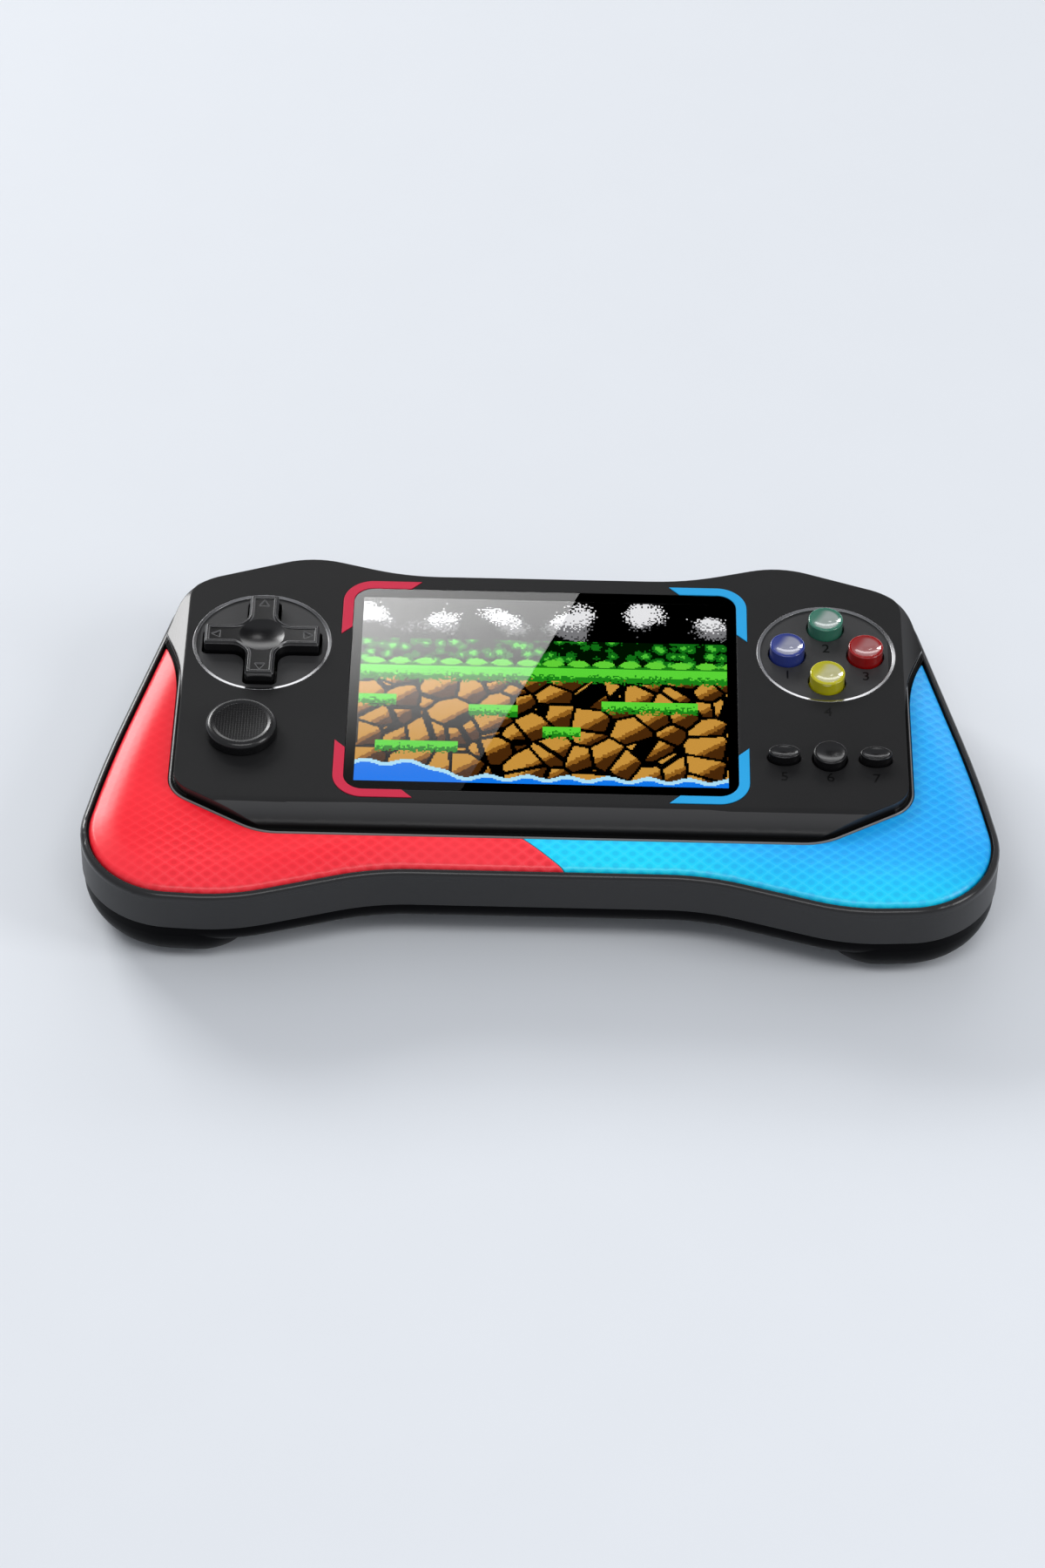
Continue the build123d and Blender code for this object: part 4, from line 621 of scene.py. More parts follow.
@dataclass(frozen=True)
class GridFinish(Finish):
    """Rubber with a fine square grid inside a dull round field, and a glossy rim."""

    pitch: float = 0.55
    field_radius: float = 5.0
    field_specular: float = 0.12
    centre: tuple[float, float] = (0.0, 0.0)
    relief_strength: float = 0.9
    rim_roughness: float = 0.24

    def _field(self, on: Surface) -> tuple[Socket, Socket]:
        """Where the grid lies.

        Args:
            on: The surface.

        Returns:
            The place in plan from the field's centre, and 1 inside the field.
        """
        flat = on.graph.flat(on.place, self.centre)
        reach = on.graph.vector("LENGTH", flat)
        return flat, on.graph.math("LESS_THAN", reach, self.field_radius * MM)

    def polish(self, on: Surface) -> Socket:
        """The roughness, lower on the rim."""
        return on.graph.blend(self._field(on)[1], self.rim_roughness, on.rough)

    def shine(self, on: Surface) -> Socket:
        """The strength of reflections, lower inside the rim."""
        return on.graph.blend(self._field(on)[1], self.specular, self.field_specular)

    def relief(self, on: Surface) -> Socket:
        """The grid inside its field, with grain all over.

        Args:
            on: The surface.

        Returns:
            The height's socket.
        """
        flat, inside = self._field(on)
        inputs = {"Place": flat, "Pitch": self.pitch * MM}
        group = on.graph.node("Group", inputs, node_tree=EFFECTS.get(Effect.GRID))
        shown = on.graph.times(group.outputs["Height"], inside)
        return on.graph.math("ADD", shown, on.graph.times(on.grain, self.grain))


@dataclass(frozen=True)
class EdgedFinish(Finish):
    """Black plastic with a painted highlight on its rounded edges."""

    edge_reach: float = 0.32
    # Colour of the painted highlight on rounded edges
    edge_colour: Colour = (0.22, 0.22, 0.225)
    edge_span: Span = (0.99, 0.86)

    def paint(self, on: Surface) -> Socket:
        """The base colour, with a painted highlight where the surface turns.

        Args:
            on: The surface.

        Returns:
            The colour's socket.
        """
        graph = on.graph
        rounded = graph.node("Bevel", {"Radius": self.edge_reach * MM}, samples=6).outputs[0]
        straight = graph.node("NewGeometry").outputs["Normal"]
        # Painted highlight where the rounded normal turns from the face's own
        turned = graph.ramp(graph.vector("DOT_PRODUCT", rounded, straight), self.edge_span)
        return graph.mix(turned, super().paint(on), self.edge_colour)


@dataclass(frozen=True)
class ClearFinish(Finish):
    """Glass or tinted clear plastic."""

    transmission: float = 1.0
    bending: float = 1.49

    def dress(self, on: Surface, shader: bpy.types.Node) -> None:
        """Let light through.

        Args:
            on: The surface.
            shader: The Principled node.
        """
        shader.inputs["Transmission Weight"].default_value = self.transmission
        shader.inputs["IOR"].default_value = self.bending


@dataclass(frozen=True)
class ButtonFinish(ClearFinish):
    """Tinted clear plastic, with a painted reflection that pales its dished top."""

    middle: tuple[float, ...] = (0.0, 0.0, 0.0)
    dish_radius: float = 2.75
    dish_edge: float = 0.4
    # Colour and share of the painted reflection in the dish
    milk: Colour = (0.66, 0.66, 0.66)
    milk_share: float = 0.6
    side_slope: float = -0.6
    side_span: Span = (-2.6, -0.6)

    def paint(self, on: Surface) -> Socket:
        """The tint, with a painted reflection that pales the dish and is palest towards its right.

        Args:
            on: The surface.

        Returns:
            The colour's socket.
        """
        graph = on.graph
        flat = graph.flat(on.place, self.middle)
        x, y, _ = graph.split(flat)
        rim = (self.dish_radius, self.dish_radius - self.dish_edge)
        dish = graph.ramp(graph.vector("LENGTH", flat), rim, MM)
        above = graph.math("GREATER_THAN", graph.split(on.place)[2], self.middle[2])
        side = graph.ramp(graph.math("MULTIPLY_ADD", y, self.side_slope, x), self.side_span, MM)
        # Painted reflection over the dish, palest towards the right
        return graph.mix(graph.times(dish, above, side, self.milk_share), self.colour, self.milk)


@dataclass(frozen=True)
class Dots:
    """The display's dots: where each lies, and its shares across and up the picture."""

    graph: Graph
    place: Socket
    across: Socket
    up: Socket


@dataclass(frozen=True)
class PictureFinish(Finish):
    """The lit picture of the display: a landscape of square picture dots.

    Places in the picture are shares of its width and height, from its low left corner.
    """

    width: float = 70.1
    height: float = 50.6
    middle: tuple[float, float] = (0.0, 0.0)
    dot: float = 0.3
    glow: float = 1.0
    sky_low: float = 0.785
    hedge_low: float = 0.62
    ledges: tuple[tuple[float, float, float, float], ...] = (
        (0.0, 1.0, 0.56, 0.635),
        (0.05, 0.27, 0.17, 0.23),
        (0.30, 0.43, 0.37, 0.43),
        (0.50, 0.60, 0.26, 0.32),
        (0.66, 0.92, 0.40, 0.46),
        (0.0, 0.10, 0.42, 0.48),
    )
    cloud_colours: tuple[Colour, Colour] = ((0.2, 0.2, 0.21), (0.86, 0.86, 0.88))
    cloud_count: float = 5.3
    cloud_scale: float = 130.0
    cloud_height: float = 0.9
    cloud_stretch: Span = (0.34, 1.35)
    cloud_rag: float = 0.16
    cloud_light: float = 0.42
    leaf_colours: tuple[Colour, ...] = ((0.0, 0.006, 0.0), (0.006, 0.16, 0.008), (0.08, 0.58, 0.04))
    leaf_scale: float = 430.0
    leaf_reaches: Span = (0.46, 0.7)
    bush_colours: tuple[Colour, Colour] = ((0.012, 0.2, 0.008), (0.13, 0.68, 0.04))
    bush_turns: float = 45.0
    bush_height: float = 0.637
    bush_rise: float = 0.045
    bush_light: float = 0.662
    rock_colours: tuple[Colour, ...] = (
        (0.07, 0.022, 0.003),
        (0.3, 0.12, 0.014),
        (0.62, 0.31, 0.05),
    )
    rock_scale: float = 175.0
    rock_light: tuple[float, float, float] = (-450.0, 600.0, 0.0)
    rock_shades: Span = (-0.75, -0.05)
    joint_width: float = 0.06
    grass_colours: tuple[Colour, Colour] = ((0.012, 0.24, 0.01), (0.11, 0.72, 0.04))
    foam_colour: Colour = (0.45, 0.8, 1.0)
    water_colour: Colour = (0.005, 0.2, 0.9)
    water_height: float = 0.05
    foam_height: float = 0.02
    wave_turns: float = 58.0
    wave_height: float = 0.01
    bank_span: Span = (0.28, 0.16)
    bank_height: float = 0.07
    fringe: float = 0.03
    shade_shift: float = 0.035
    fine_scale: float = 2600.0
    grass_scale: float = 1800.0
    rock_grain_scale: float = 1500.0

    def _dots(self, on: Surface) -> Dots:
        """Snap the surface to the display's dots.

        Args:
            on: The surface.

        Returns:
            The dots.
        """
        graph = on.graph
        size = self.dot * MM
        wide, high = self.width * MM, self.height * MM
        corner = (self.middle[0] - wide / 2, self.middle[1] - high / 2)
        place = graph.vector("SNAP", graph.flat(on.place, corner), (size, size, size))
        x, y, _ = graph.split(place)
        return Dots(graph, place, graph.math("DIVIDE", x, wide), graph.math("DIVIDE", y, high))

    def _sky(self, dots: Dots) -> Socket:
        """A black sky with a row of ragged pale clouds.

        Args:
            dots: The display's dots.

        Returns:
            The colour's socket.
        """
        graph = dots.graph
        fine = graph.noise(dots.place, self.fine_scale)
        broad = graph.noise(dots.place, self.cloud_scale)
        row = graph.math("PINGPONG", graph.times(dots.across, self.cloud_count), 0.5)
        side = graph.times(row, self.cloud_stretch[0])
        lift = graph.math("SUBTRACT", dots.up, self.cloud_height)
        lift = graph.times(lift, self.cloud_stretch[1])
        square = graph.math("MULTIPLY_ADD", side, side, graph.times(lift, lift))
        ragged = graph.math("MULTIPLY_ADD", fine, self.cloud_rag, graph.math("SQRT", square))
        cloud = graph.math("LESS_THAN", ragged, graph.math("MULTIPLY_ADD", broad, 0.28, 0.02))
        shade = graph.math("MULTIPLY_ADD", lift, 5.0, graph.times(fine, 1.2))
        lit = graph.math("GREATER_THAN", shade, self.cloud_light)
        pale = graph.mix(lit, *self.cloud_colours)
        return graph.mix(cloud, BLACK, pale)

    def _hedge(self, dots: Dots) -> Socket:
        """Loose green leaves on black, over a row of round bushes.

        Args:
            dots: The display's dots.

        Returns:
            The colour's socket.
        """
        graph = dots.graph
        cells = {"Vector": dots.place, "Scale": self.leaf_scale, "Randomness": 0.8}
        distance = graph.node("TexVoronoi", cells).outputs["Distance"]
        reach = graph.math("MULTIPLY_ADD", graph.noise(dots.place, self.fine_scale), 0.3, distance)
        dark, edge, core = self.leaf_colours
        inner, outer = self.leaf_reaches
        leaf = graph.mix(graph.math("LESS_THAN", reach, inner), edge, core)
        leaves = graph.mix(graph.math("LESS_THAN", reach, outer), dark, leaf)
        hump = graph.math("ABSOLUTE", graph.math("SINE", graph.times(dots.across, self.bush_turns)))
        round_top = graph.math("SQRT", hump)
        crown = graph.math("MULTIPLY_ADD", round_top, self.bush_rise, self.bush_height)
        lit = graph.math("MULTIPLY_ADD", hump, 0.02, dots.up)
        lit = graph.math("GREATER_THAN", lit, self.bush_light)
        bush = graph.mix(lit, *self.bush_colours)
        return graph.mix(graph.math("LESS_THAN", dots.up, crown), leaves, bush)

    def _rocks(self, dots: Dots) -> Socket:
        """Split rocks, lit from the upper left, with black joints.

        Args:
            dots: The display's dots.

        Returns:
            The colour's socket.
        """
        graph = dots.graph
        cells = {"Vector": dots.place, "Scale": self.rock_scale, "Randomness": 0.95}
        blocks = graph.node("TexVoronoi", cells)
        joints = graph.node("TexVoronoi", cells, feature="DISTANCE_TO_EDGE").outputs["Distance"]
        offset = graph.vector("SUBTRACT", dots.place, blocks.outputs["Position"])
        facing = graph.vector("DOT_PRODUCT", offset, self.rock_light)
        fine = graph.noise(dots.place, self.rock_grain_scale)
        slope = graph.math("MULTIPLY_ADD", fine, 0.7, graph.math("SUBTRACT", facing, 0.35))
        shadow, middle, light = self.rock_colours
        low, high = self.rock_shades
        shade = graph.mix(graph.math("GREATER_THAN", slope, low), shadow, middle)
        lit = graph.mix(graph.math("GREATER_THAN", slope, high), shade, light)
        return graph.mix(graph.math("LESS_THAN", joints, self.joint_width), lit, BLACK)

    def _grass(self, dots: Dots, low: float, high: float) -> tuple[Socket, Socket]:
        """A grass ledge with a ragged, darker lower edge.

        Args:
            dots: The display's dots.
            low: Lower edge.
            high: Upper edge.

        Returns:
            The ledge's mask and its colour.
        """
        graph = dots.graph
        fine = graph.noise(dots.place, self.grass_scale)
        ragged = graph.math("MULTIPLY_ADD", fine, -2 * self.fringe, dots.up)
        above = graph.math("GREATER_THAN", ragged, low - self.fringe)
        upper = graph.math("GREATER_THAN", ragged, (low + high) / 2 - self.shade_shift)
        mask = graph.times(above, graph.math("LESS_THAN", dots.up, high))
        return mask, graph.mix(upper, *self.grass_colours)

    def dress(self, on: Surface, shader: bpy.types.Node) -> None:
        """Light the landscape up.

        Args:
            on: The surface.
            shader: The Principled node.
        """
        graph = on.graph
        dots = self._dots(on)
        across, up = dots.across, dots.up
        picture = self._rocks(dots)
        for low, layer in ((self.hedge_low, self._hedge), (self.sky_low, self._sky)):
            picture = graph.mix(graph.math("GREATER_THAN", up, low), picture, layer(dots))
        for left, right, low, high in self.ledges:
            ledge, green = self._grass(dots, low, high)
            shown = graph.times(graph.between(across, left - 0.001, right), ledge)
            picture = graph.mix(shown, picture, green)
        waves = graph.math("SINE", graph.times(across, self.wave_turns))
        waves = graph.times(waves, self.wave_height)
        bank = graph.times(graph.ramp(across, self.bank_span), self.bank_height)
        surface = graph.math("ADD", graph.math("ADD", waves, self.water_height), bank)
        picture = graph.mix(graph.math("LESS_THAN", up, surface), picture, self.foam_colour)
        deep = graph.math("LESS_THAN", graph.math("ADD", up, self.foam_height), surface)
        graph.feed(shader.inputs["Emission Color"], graph.mix(deep, picture, self.water_colour))
        shader.inputs["Emission Strength"].default_value = self.glow


SHELL = Finish(
    "Casing black", (0.002, 0.002, 0.0025), 0.35, specular=0.03, grain=0.03, tone=0.1, edge=0.35
)
WALL = WallFinish(
    "Wall black", (0.019, 0.019, 0.02), 0.4, specular=0.38, grain=0.06, tone=0.1, edge=0.25
)
FACE = PlateFinish(
    "Face charcoal", (0.014, 0.014, 0.0145), 0.36, specular=0.35, grain=0.07, tone=0.1, edge=0.3
)
# In both grips the dent colour is painted shade, and the paler near-edge and lattice colours are
# painted highlights
RED_GRIP = GripFinish(
    "Grip red",
    (1.0, 0.012, 0.028),
    0.3,
    specular=0.36,
    edge=0.25,
    dent=(0.6, 0.004, 0.012),
    glow=(1.0, 0.045, 0.065),
    line=(1.0, 0.11, 0.13),
)
BLUE_GRIP = GripFinish(
    "Grip blue",
    (0.0, 0.4, 0.96),
    0.33,
    edge=0.25,
    dent=(0.0, 0.2, 0.66),
    glow=(0.0, 0.78, 1.0),
    line=(0.08, 0.78, 1.0),
    line_share=0.22,
    dent_share=0.22,
    outer_share=0.9,
)
LENS = ClearFinish("Lens clear", WHITE, 0.0, grain=0.0, tone=0.0)
LENS_PRINT = Finish("Lens print", (0.002, 0.002, 0.0025), 0.3, specular=0.1, grain=0.01)
RED_TRIM = Finish("Accent red", (0.6, 0.008, 0.05), 0.36, specular=0.3, edge=0.15)
BLUE_TRIM = Finish("Accent blue", (0.006, 0.36, 0.75), 0.36, specular=0.3, edge=0.15)
CONTROL = Finish("Control black", (0.005, 0.005, 0.0055), 0.24, grain=0.02, edge=0.2)
PAD = EdgedFinish("Pad gloss", (0.004, 0.004, 0.0045), 0.2, grain=0.01, tone=0.05, edge=0.15)
RUBBER = Finish("Mat rubber", (0.2, 0.2, 0.21), 0.7, grain=0.2)
IVORY = Finish("Ivory moulding", (0.66, 0.64, 0.58), 0.4, edge=0.1)
TRAY = Finish("Tray black", (0.015, 0.015, 0.015), 0.45, edge=0.1)
STEEL = Finish("Stamped steel", (0.6, 0.6, 0.59), 0.28, metallic=1.0, grain=0.05, edge=0.1)
DARK_STEEL = Finish("Screw steel", (0.09, 0.09, 0.095), 0.35, metallic=1.0, edge=0.1)
BRASS = Finish("Contact brass", (0.8, 0.58, 0.24), 0.25, metallic=1.0)
AMBER = Finish("Ribbon amber", (0.42, 0.17, 0.03), 0.3, coat=0.4)
BOARD = Finish("Board green", (0.01, 0.12, 0.04), 0.35, coat=0.3, tone=0.3)
CHIP = Finish("Chip black", (0.012, 0.012, 0.013), 0.5, grain=0.2)
CONE = Finish("Speaker cone", (0.05, 0.05, 0.055), 0.75, grain=0.3)
WRAP = Finish("Battery wrap", (0.04, 0.05, 0.06), 0.3, coat=0.5)
RING = Finish("Ring satin", (0.42, 0.42, 0.43), 0.2, metallic=1.0, grain=0.0)
MARK = Finish("Mark print", (0.0015, 0.0015, 0.0015), 0.3, specular=0.2, grain=0.0)
PAPER = Finish("Floor paper", (0.72, 0.75, 0.79), 0.5, grain=0.0, tone=0.02)

# Tint and share of painted reflection of each round button
TINTS: dict[str, tuple[Colour, float]] = {
    "blue": ((0.035, 0.06, 0.33), 0.56),
    "green": ((0.055, 0.25, 0.17), 0.6),
    "red": ((0.4, 0.006, 0.006), 0.27),
    "yellow": ((0.64, 0.59, 0.01), 0.5),
}


def dress_nodes(finishes: dict[str, Finish]) -> None:
    """Give nodes of the frame their finish in each of their slots.

    Args:
        finishes: Finish of each node, by name.
    """
    for node, finish in finishes.items():
        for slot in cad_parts[node].material_slots:
            slot.material = finish.material()
        log.info("dressed %s in %s", node, finish.name)


def middle_of(node: str) -> Vector:
    """The middle of a node's box, in the row frame.

    Args:
        node: Name of the node.

    Returns:
        The middle point.
    """
    low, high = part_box(node)
    return (low + high) / 2


def add_object(name: str, data: bpy.types.ID) -> bpy.types.Object:
    """Put a new object in the scene.

    Args:
        name: Name of the object.
        data: Its mesh, curve, lamp or camera.

    Returns:
        The object.
    """
    made = bpy.data.objects.new(name, data)
    bpy.context.scene.collection.objects.link(made)
    return made


def close_mesh(name: str, made: bmesh.types.BMesh) -> bpy.types.Mesh:
    """Turn an edited mesh into a stored one.

    Args:
        name: Name of the mesh.
        made: The edited mesh, which is freed.

    Returns:
        The mesh.
    """
    mesh = bpy.data.meshes.new(name)
    made.to_mesh(mesh)
    made.free()
    return mesh


def add_piece(mesh: bpy.types.Mesh, finish: Finish, body: str, smooth: bool) -> None:
    """Put a new piece in the scene, named like its mesh.

    Args:
        mesh: Its mesh, in the row frame.
        finish: Its finish.
        body: The body of the frame that it rides on.
        smooth: Whether its faces are shaded smooth.
    """
    piece = add_object(mesh.name, mesh)
    mesh.materials.append(finish.material())
    for face in mesh.polygons:
        face.use_smooth = smooth
    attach(piece, body)
    log.info("built %s on %s", mesh.name, body)


@dataclass
class Body:
    """The shells, the face plate and the two grip panels."""

    finishes: dict[str, Finish] = field(
        default_factory=lambda: {
            "rear_shell": SHELL,
            "battery_door": SHELL,
            "front_shell": WALL,
            "faceplate": FACE,
            "left_grip_panel": RED_GRIP,
            "right_grip_panel": BLUE_GRIP,
            "shell_screws": DARK_STEEL,
        }
    )

    def build(self) -> None:
        """Dress the body."""
        dress_nodes(self.finishes)


@dataclass
class Screen:
    """Lens, printed frame, accents and the lit display."""

    picture_shift: float = 0.35
    finishes: dict[str, Finish] = field(
        default_factory=lambda: {
            "screen_lens": LENS,
            "lens_frame": LENS_PRINT,
            "red_accents": RED_TRIM,
            "blue_accents": BLUE_TRIM,
            "display_ribbon": AMBER,
            "ribbon_connector": IVORY,
        }
    )

    def build(self) -> None:
        """Dress the screen, with the picture centred in the printed frame's window."""
        dress_nodes(self.finishes)
        centre = middle_of("lens_frame")
        picture = PictureFinish(
            "Display picture",
            BLACK,
            0.3,
            specular=0.0,
            grain=0.0,
            middle=(centre.x, centre.y + self.picture_shift * MM),
        )
        dress_nodes({"display_panel": picture})


@dataclass(frozen=True)
class Ring:
    """A thin ring whose top falls towards its centre."""

    name: str
    middle: Vector
    radius: float = 13.3
    width: float = 0.62
    fall: float = 0.1
    lip: float = 0.08
    steps: int = 128

    def build(self) -> None:
        """Lay the ring with the outer edge of its top round its middle."""
        fall = self.fall * MM
        shares = (0.0, self.lip, 1.0 - self.lip, 1.0)
        section = [(share, -share * fall) for share in shares]
        section += [(1.0, -2 * fall), (0.0, -fall)]
        made = bmesh.new()
        loops = []
        for step in range(self.steps):
            turn = 2 * math.pi * step / self.steps
            way = Vector((math.cos(turn), math.sin(turn), 0.0))
            loops.append(
                [
                    made.verts.new(
                        self.middle
                        + way * (self.radius - share * self.width) * MM
                        + Vector((0.0, 0.0, height))
                    )
                    for share, height in section
                ]
            )
        for here, after in zip(loops, loops[1:] + loops[:1]):
            for side in range(len(section)):
                follow = (side + 1) % len(section)
                made.faces.new((here[side], here[follow], after[follow], after[side]))
        bmesh.ops.recalc_face_normals(made, faces=made.faces)
        add_piece(close_mesh(self.name, made), RING, CONSOLE, smooth=True)


@dataclass(frozen=True)
class Numeral:
    """A numeral as a thin solid, centred on its spot."""

    number: int
    spot: Vector
    height: float = 3.2
    thickness: float = 0.02

    def build(self) -> None:
        """Print the numeral."""
        curve = bpy.data.curves.new(f"numeral_{self.number}", "FONT")
        curve.body = str(self.number)
        curve.size = self.height * MM
        curve.extrude = self.thickness * MM
        curve.align_x = "CENTER"
        curve.align_y = "CENTER"
        holder = add_object(curve.name, curve)
        bpy.context.view_layer.update()
        mesh = bpy.data.meshes.new_from_object(holder)
        mesh.name = curve.name
        bpy.data.objects.remove(holder)
        mesh.transform(Matrix.Translation(self.spot))
        add_piece(mesh, MARK, CONSOLE, smooth=False)


@dataclass
class Controls:
    """Cross pad, thumb pad, round and oval buttons, their rings and numerals."""

    field_depth: float = 0.35
    # How far below the middle of each button its numeral stands
    reaches: tuple[tuple[str, float], ...] = (
        ("blue_button", 5.7),
        ("green_button", 5.7),
        ("red_button", 5.7),
        ("yellow_button", 8.6),
        ("left_function_button", 5.0),
        ("middle_function_button", 5.0),
        ("right_function_button", 5.0),
    )
    finishes: dict[str, Finish] = field(
        default_factory=lambda: {
            "dpad": PAD,
            "dpad_pivot": IVORY,
            "stick_carriage": IVORY,
            "stick_tray": TRAY,
            "stick_cover": STEEL,
            "dpad_mat": RUBBER,
            "button_mat": RUBBER,
            "function_mat": RUBBER,
            "left_function_button": CONTROL,
            "middle_function_button": CONTROL,
            "right_function_button": CONTROL,
        }
    )

    def build(self) -> None:
        """Dress the controls and add what is printed round them."""
        dress_nodes(self.finishes)
        self._dress_tops()
        self._add_rings()
        self._add_numerals()

    def _dress_tops(self) -> None:
        """Finish the thumb pad and the round buttons, whose looks depend on their places."""
        centre = middle_of("stick_cap")
        grid = GridFinish(
            "Thumb pad rubber",
            (0.006, 0.006, 0.0065),
            0.45,
            grain=0.1,
            edge=0.2,
            centre=(centre.x, centre.y),
        )
        dress_nodes({"stick_cap": grid})
        for name, (tint, share) in TINTS.items():
            node = f"{name}_button"
            clear = ButtonFinish(
                f"Button {name}",
                tint,
                0.08,
                grain=0.0,
                tone=0.0,
                coat=0.6,
                transmission=0.3,
                edge=0.15,
                middle=tuple(middle_of(node)),
                milk_share=share,
            )
            dress_nodes({node: clear})

    def _add_rings(self) -> None:
        """Lay a thin bright ring on the bevel of each round control field."""
        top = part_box("faceplate")[1].z
        for name, mat in (("pad_ring", "dpad_mat"), ("button_ring", "button_mat")):
            Ring(name, Vector((*middle_of(mat).xy, top))).build()

    def _add_numerals(self) -> None:
        """Print a small plain numeral below each button, sunk where its field is."""
        sunk = middle_of("button_mat")
        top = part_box("faceplate")[1].z
        for number, (node, reach) in enumerate(self.reaches, start=1):
            button = middle_of(node)
            spot = Vector((button.x, button.y - reach * MM, top))
            if (spot.xy - sunk.xy).length < Ring.radius * MM:
                spot.z -= self.field_depth * MM
            Numeral(number, spot).build()


@dataclass
class Inside:
    """Circuit board, sockets, switch, wheel, speaker and battery."""

    finishes: dict[str, Finish] = field(
        default_factory=lambda: {
            "main_board": BOARD,
            "processor_chip": CHIP,
            "memory_chip": CHIP,
            "av_jack": TRAY,
            "usb_port": STEEL,
            "volume_pot": STEEL,
            "volume_wheel": CONTROL,
            "power_switch": STEEL,
            "power_knob": CONTROL,
            "speaker": CONE,
            "battery": WRAP,
            "battery_contacts": BRASS,
            "board_screws": STEEL,
        }
    )

    def build(self) -> None:
        """Dress the inner parts."""
        dress_nodes(self.finishes)


@dataclass(frozen=True)
class Softbox:
    """A square lamp that looks at a point, all in metres."""

    name: str
    place: tuple[float, float, float]
    aim: tuple[float, float, float]
    width: float
    depth: float
    power: float

    def build(self) -> None:
        """Hang the lamp."""
        lamp = bpy.data.lights.new(self.name, "AREA")
        lamp.shape = "RECTANGLE"
        lamp.size = self.width
        lamp.size_y = self.depth
        lamp.energy = self.power
        holder = add_object(self.name, lamp)
        holder.location = self.place
        way = Vector(self.aim) - Vector(self.place)
        holder.rotation_euler = way.to_track_quat("-Z", "Y").to_euler()
        log.info("hung %s", self.name)


@dataclass(frozen=True)
class Card:
    """A black card that faces the lens along the mirrored line of sight.

    Its corners are given in its own plane: x along the mirrored picture's width, y up.
    """

    name: str = "flag"
    distance: float = 1000.0
    corners: tuple[Span, ...] = (
        (-300.0, -200.0),
        (300.0, -200.0),
        (300.0, 210.0),
        (-300.0, 210.0),
    )
    start: tuple[float, float, float] = (-10.7, 13.4, 22.2)
    sight: tuple[float, float, float] = (-0.0124, 0.7275, 0.686)

    def build(self) -> None:
        """Cut the card, which only glossy surfaces see."""
        back = Vector(self.sight).normalized()
        across = back.cross(Vector((0.0, 0.0, 1.0))).normalized()
        up = across.cross(back)
        middle = Vector(self.start) + back * self.distance
        made = bmesh.new()
        spots = [middle + across * x + up * y for x, y in self.corners]
        made.faces.new([made.verts.new(spot * MM) for spot in spots])
        mesh = close_mesh(self.name, made)
        mesh.materials.append(self._material())
        card = add_object(self.name, mesh)
        card.visible_camera = False
        card.visible_diffuse = False
        card.visible_shadow = False
        log.info("cut %s", self.name)

    def _material(self) -> bpy.types.Material:
        """The card's even or graded light.

        Returns:
            The material.
        """
        made = bpy.data.materials.new(f"Card {self.name}")
        made.use_nodes = True
        graph = Graph(made.node_tree)
        lamp = graph.node("Emission", {"Color": WHITE, "Strength": self.light(graph)})
        graph.node("OutputMaterial", {"Surface": lamp.outputs[0]})
        return made

    def light(self, graph: Graph) -> object:
        """The card's light: none.

        Args:
            graph: The material's graph.

        Returns:
            A number or a socket.
        """
        return 0.0


@dataclass(frozen=True)
class GlareCard(Card):
    """A lit card with one slanted edge, which the lens mirrors across the picture."""

    name: str = "glare_card"
    distance: float = 800.0
    corners: tuple[Span, ...] = ((-63.0, -60.0), (51.3, -60.0), (-28.1, 75.0), (-63.0, 75.0))
    strength: float = 6.5
    least: float = 0.04
    far_share: float = 0.55
    height_span: Span = (600.0, 545.0)
    side_span: Span = (15.0, -95.0)

    def light(self, graph: Graph) -> Socket:
        """The card's light, brightest at its low left corner.

        Args:
            graph: The material's graph.

        Returns:
            The light's socket.
        """
        x, _, z = graph.split(graph.position())
        side = graph.blend(graph.ramp(x, self.side_span, MM), self.far_share, 1.0)
        level = graph.times(graph.ramp(z, self.height_span, MM), side)
        return graph.times(graph.blend(level, self.least, 1.0), self.strength)


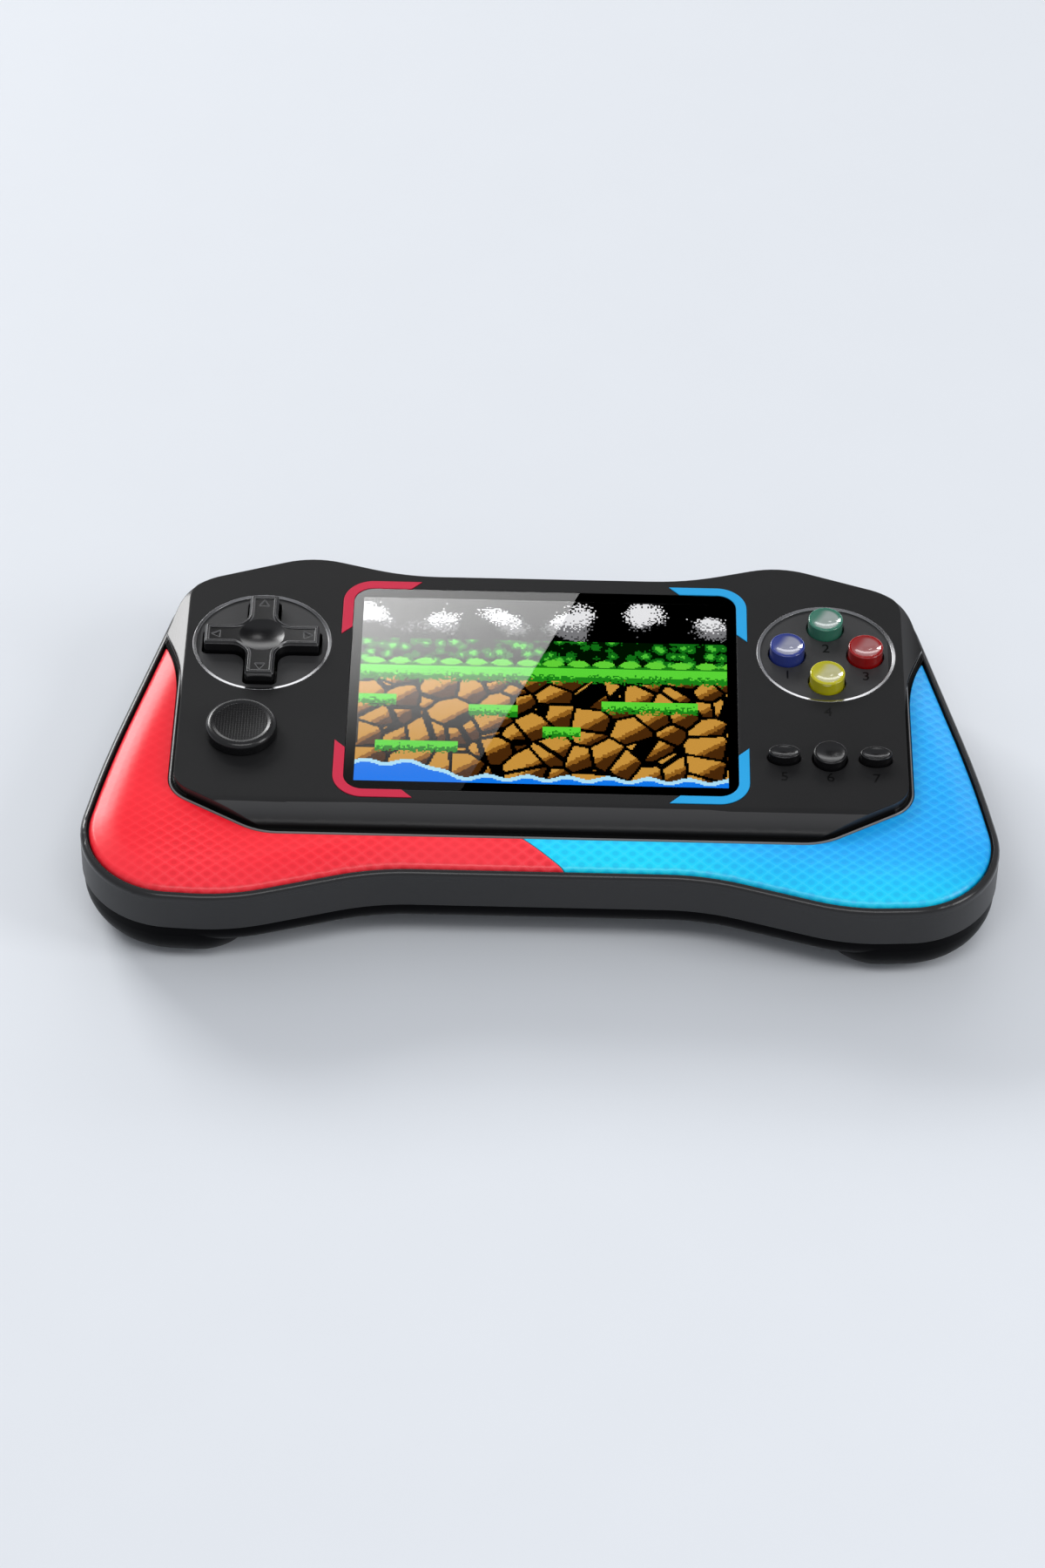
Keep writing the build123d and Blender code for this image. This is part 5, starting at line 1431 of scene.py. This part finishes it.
@dataclass
class Studio:
    """Pale floor, soft lamps, two cards and a plain world."""

    floor_reach: float = 3.0
    world_colour: Colour = (0.93, 0.95, 1.0)
    world_strength: float = 0.46
    lamps: tuple[Softbox, ...] = (
        Softbox("lamp_top", (0.0, -0.38, 0.78), (0.0, 0.0, 0.0), 0.6, 0.22, 1.9),
        Softbox("lamp_left", (-0.925, 1.267, 0.765), (-0.07, 0.0, 0.02), 0.75, 0.54, 17.5),
        Softbox("lamp_right", (0.7, -0.25, 0.5), (0.0, 0.0, 0.0), 0.3, 0.4, 2.1),
        Softbox("lamp_back", (0.1, 1.8, 0.8), (0.0, 0.0, 0.02), 1.6, 0.4, 6.0),
    )

    def build(self) -> None:
        """Set the floor, the lamps, the cards and the world."""
        self._floor()
        for item in (*self.lamps, Card(), GlareCard()):
            item.build()
        self._world()

    def _floor(self) -> None:
        """Lay the floor under the console."""
        made = bmesh.new()
        bmesh.ops.create_grid(made, x_segments=2, y_segments=2, size=self.floor_reach)
        mesh = close_mesh("floor", made)
        mesh.materials.append(PAPER.material())
        floor = add_object("floor", mesh)

    def _world(self) -> None:
        """Fill the room with even light."""
        world = bpy.data.worlds.new("studio")
        world.use_nodes = True
        graph = Graph(world.node_tree)
        inputs = {"Color": self.world_colour, "Strength": self.world_strength}
        graph.node("OutputWorld", {"Surface": graph.node("Background", inputs).outputs[0]})
        bpy.context.scene.world = world


@dataclass(frozen=True)
class Viewpoint:
    """The camera, as fitted to the outline and the lens."""

    elevation: float = 44.637
    yaw: float = 0.379
    roll: float = 0.985
    distance: float = 909.37
    aim: tuple[float, float, float] = (-3.452, -17.191, 22.2)
    focal: float = 168.0
    sensor: float = 36.0
    clip: float = 10.0

    def build(self) -> None:
        """Set the camera."""
        tilt, turn, lean = (math.radians(angle) for angle in (self.elevation, self.yaw, self.roll))
        away = math.cos(tilt)
        back = Vector((math.sin(turn) * away, -math.cos(turn) * away, math.sin(tilt)))
        level_right = Vector((0.0, 0.0, 1.0)).cross(back).normalized()
        level_up = back.cross(level_right)
        right = math.cos(lean) * level_right + math.sin(lean) * level_up
        above = -math.sin(lean) * level_right + math.cos(lean) * level_up
        lens = bpy.data.cameras.new("photo_camera")
        lens.sensor_fit = "HORIZONTAL"
        lens.sensor_width = self.sensor
        lens.lens = self.focal
        lens.clip_start = self.clip * MM
        holder = add_object("photo_camera", lens)
        turned = Matrix((right, above, back)).transposed().to_4x4()
        spot = (Vector(self.aim) + back * self.distance) * MM
        holder.matrix_world = Matrix.Translation(spot) @ turned
        bpy.context.scene.camera = holder
        log.info("set the camera")


def main() -> None:
    """Build every group in order."""
    logging.basicConfig(level=logging.INFO)
    for group in (Body(), Screen(), Controls(), Inside(), Studio(), Viewpoint()):
        group.build()
    bpy.context.scene.view_settings.view_transform = "Standard"


if __name__ == "__main__":
    main()
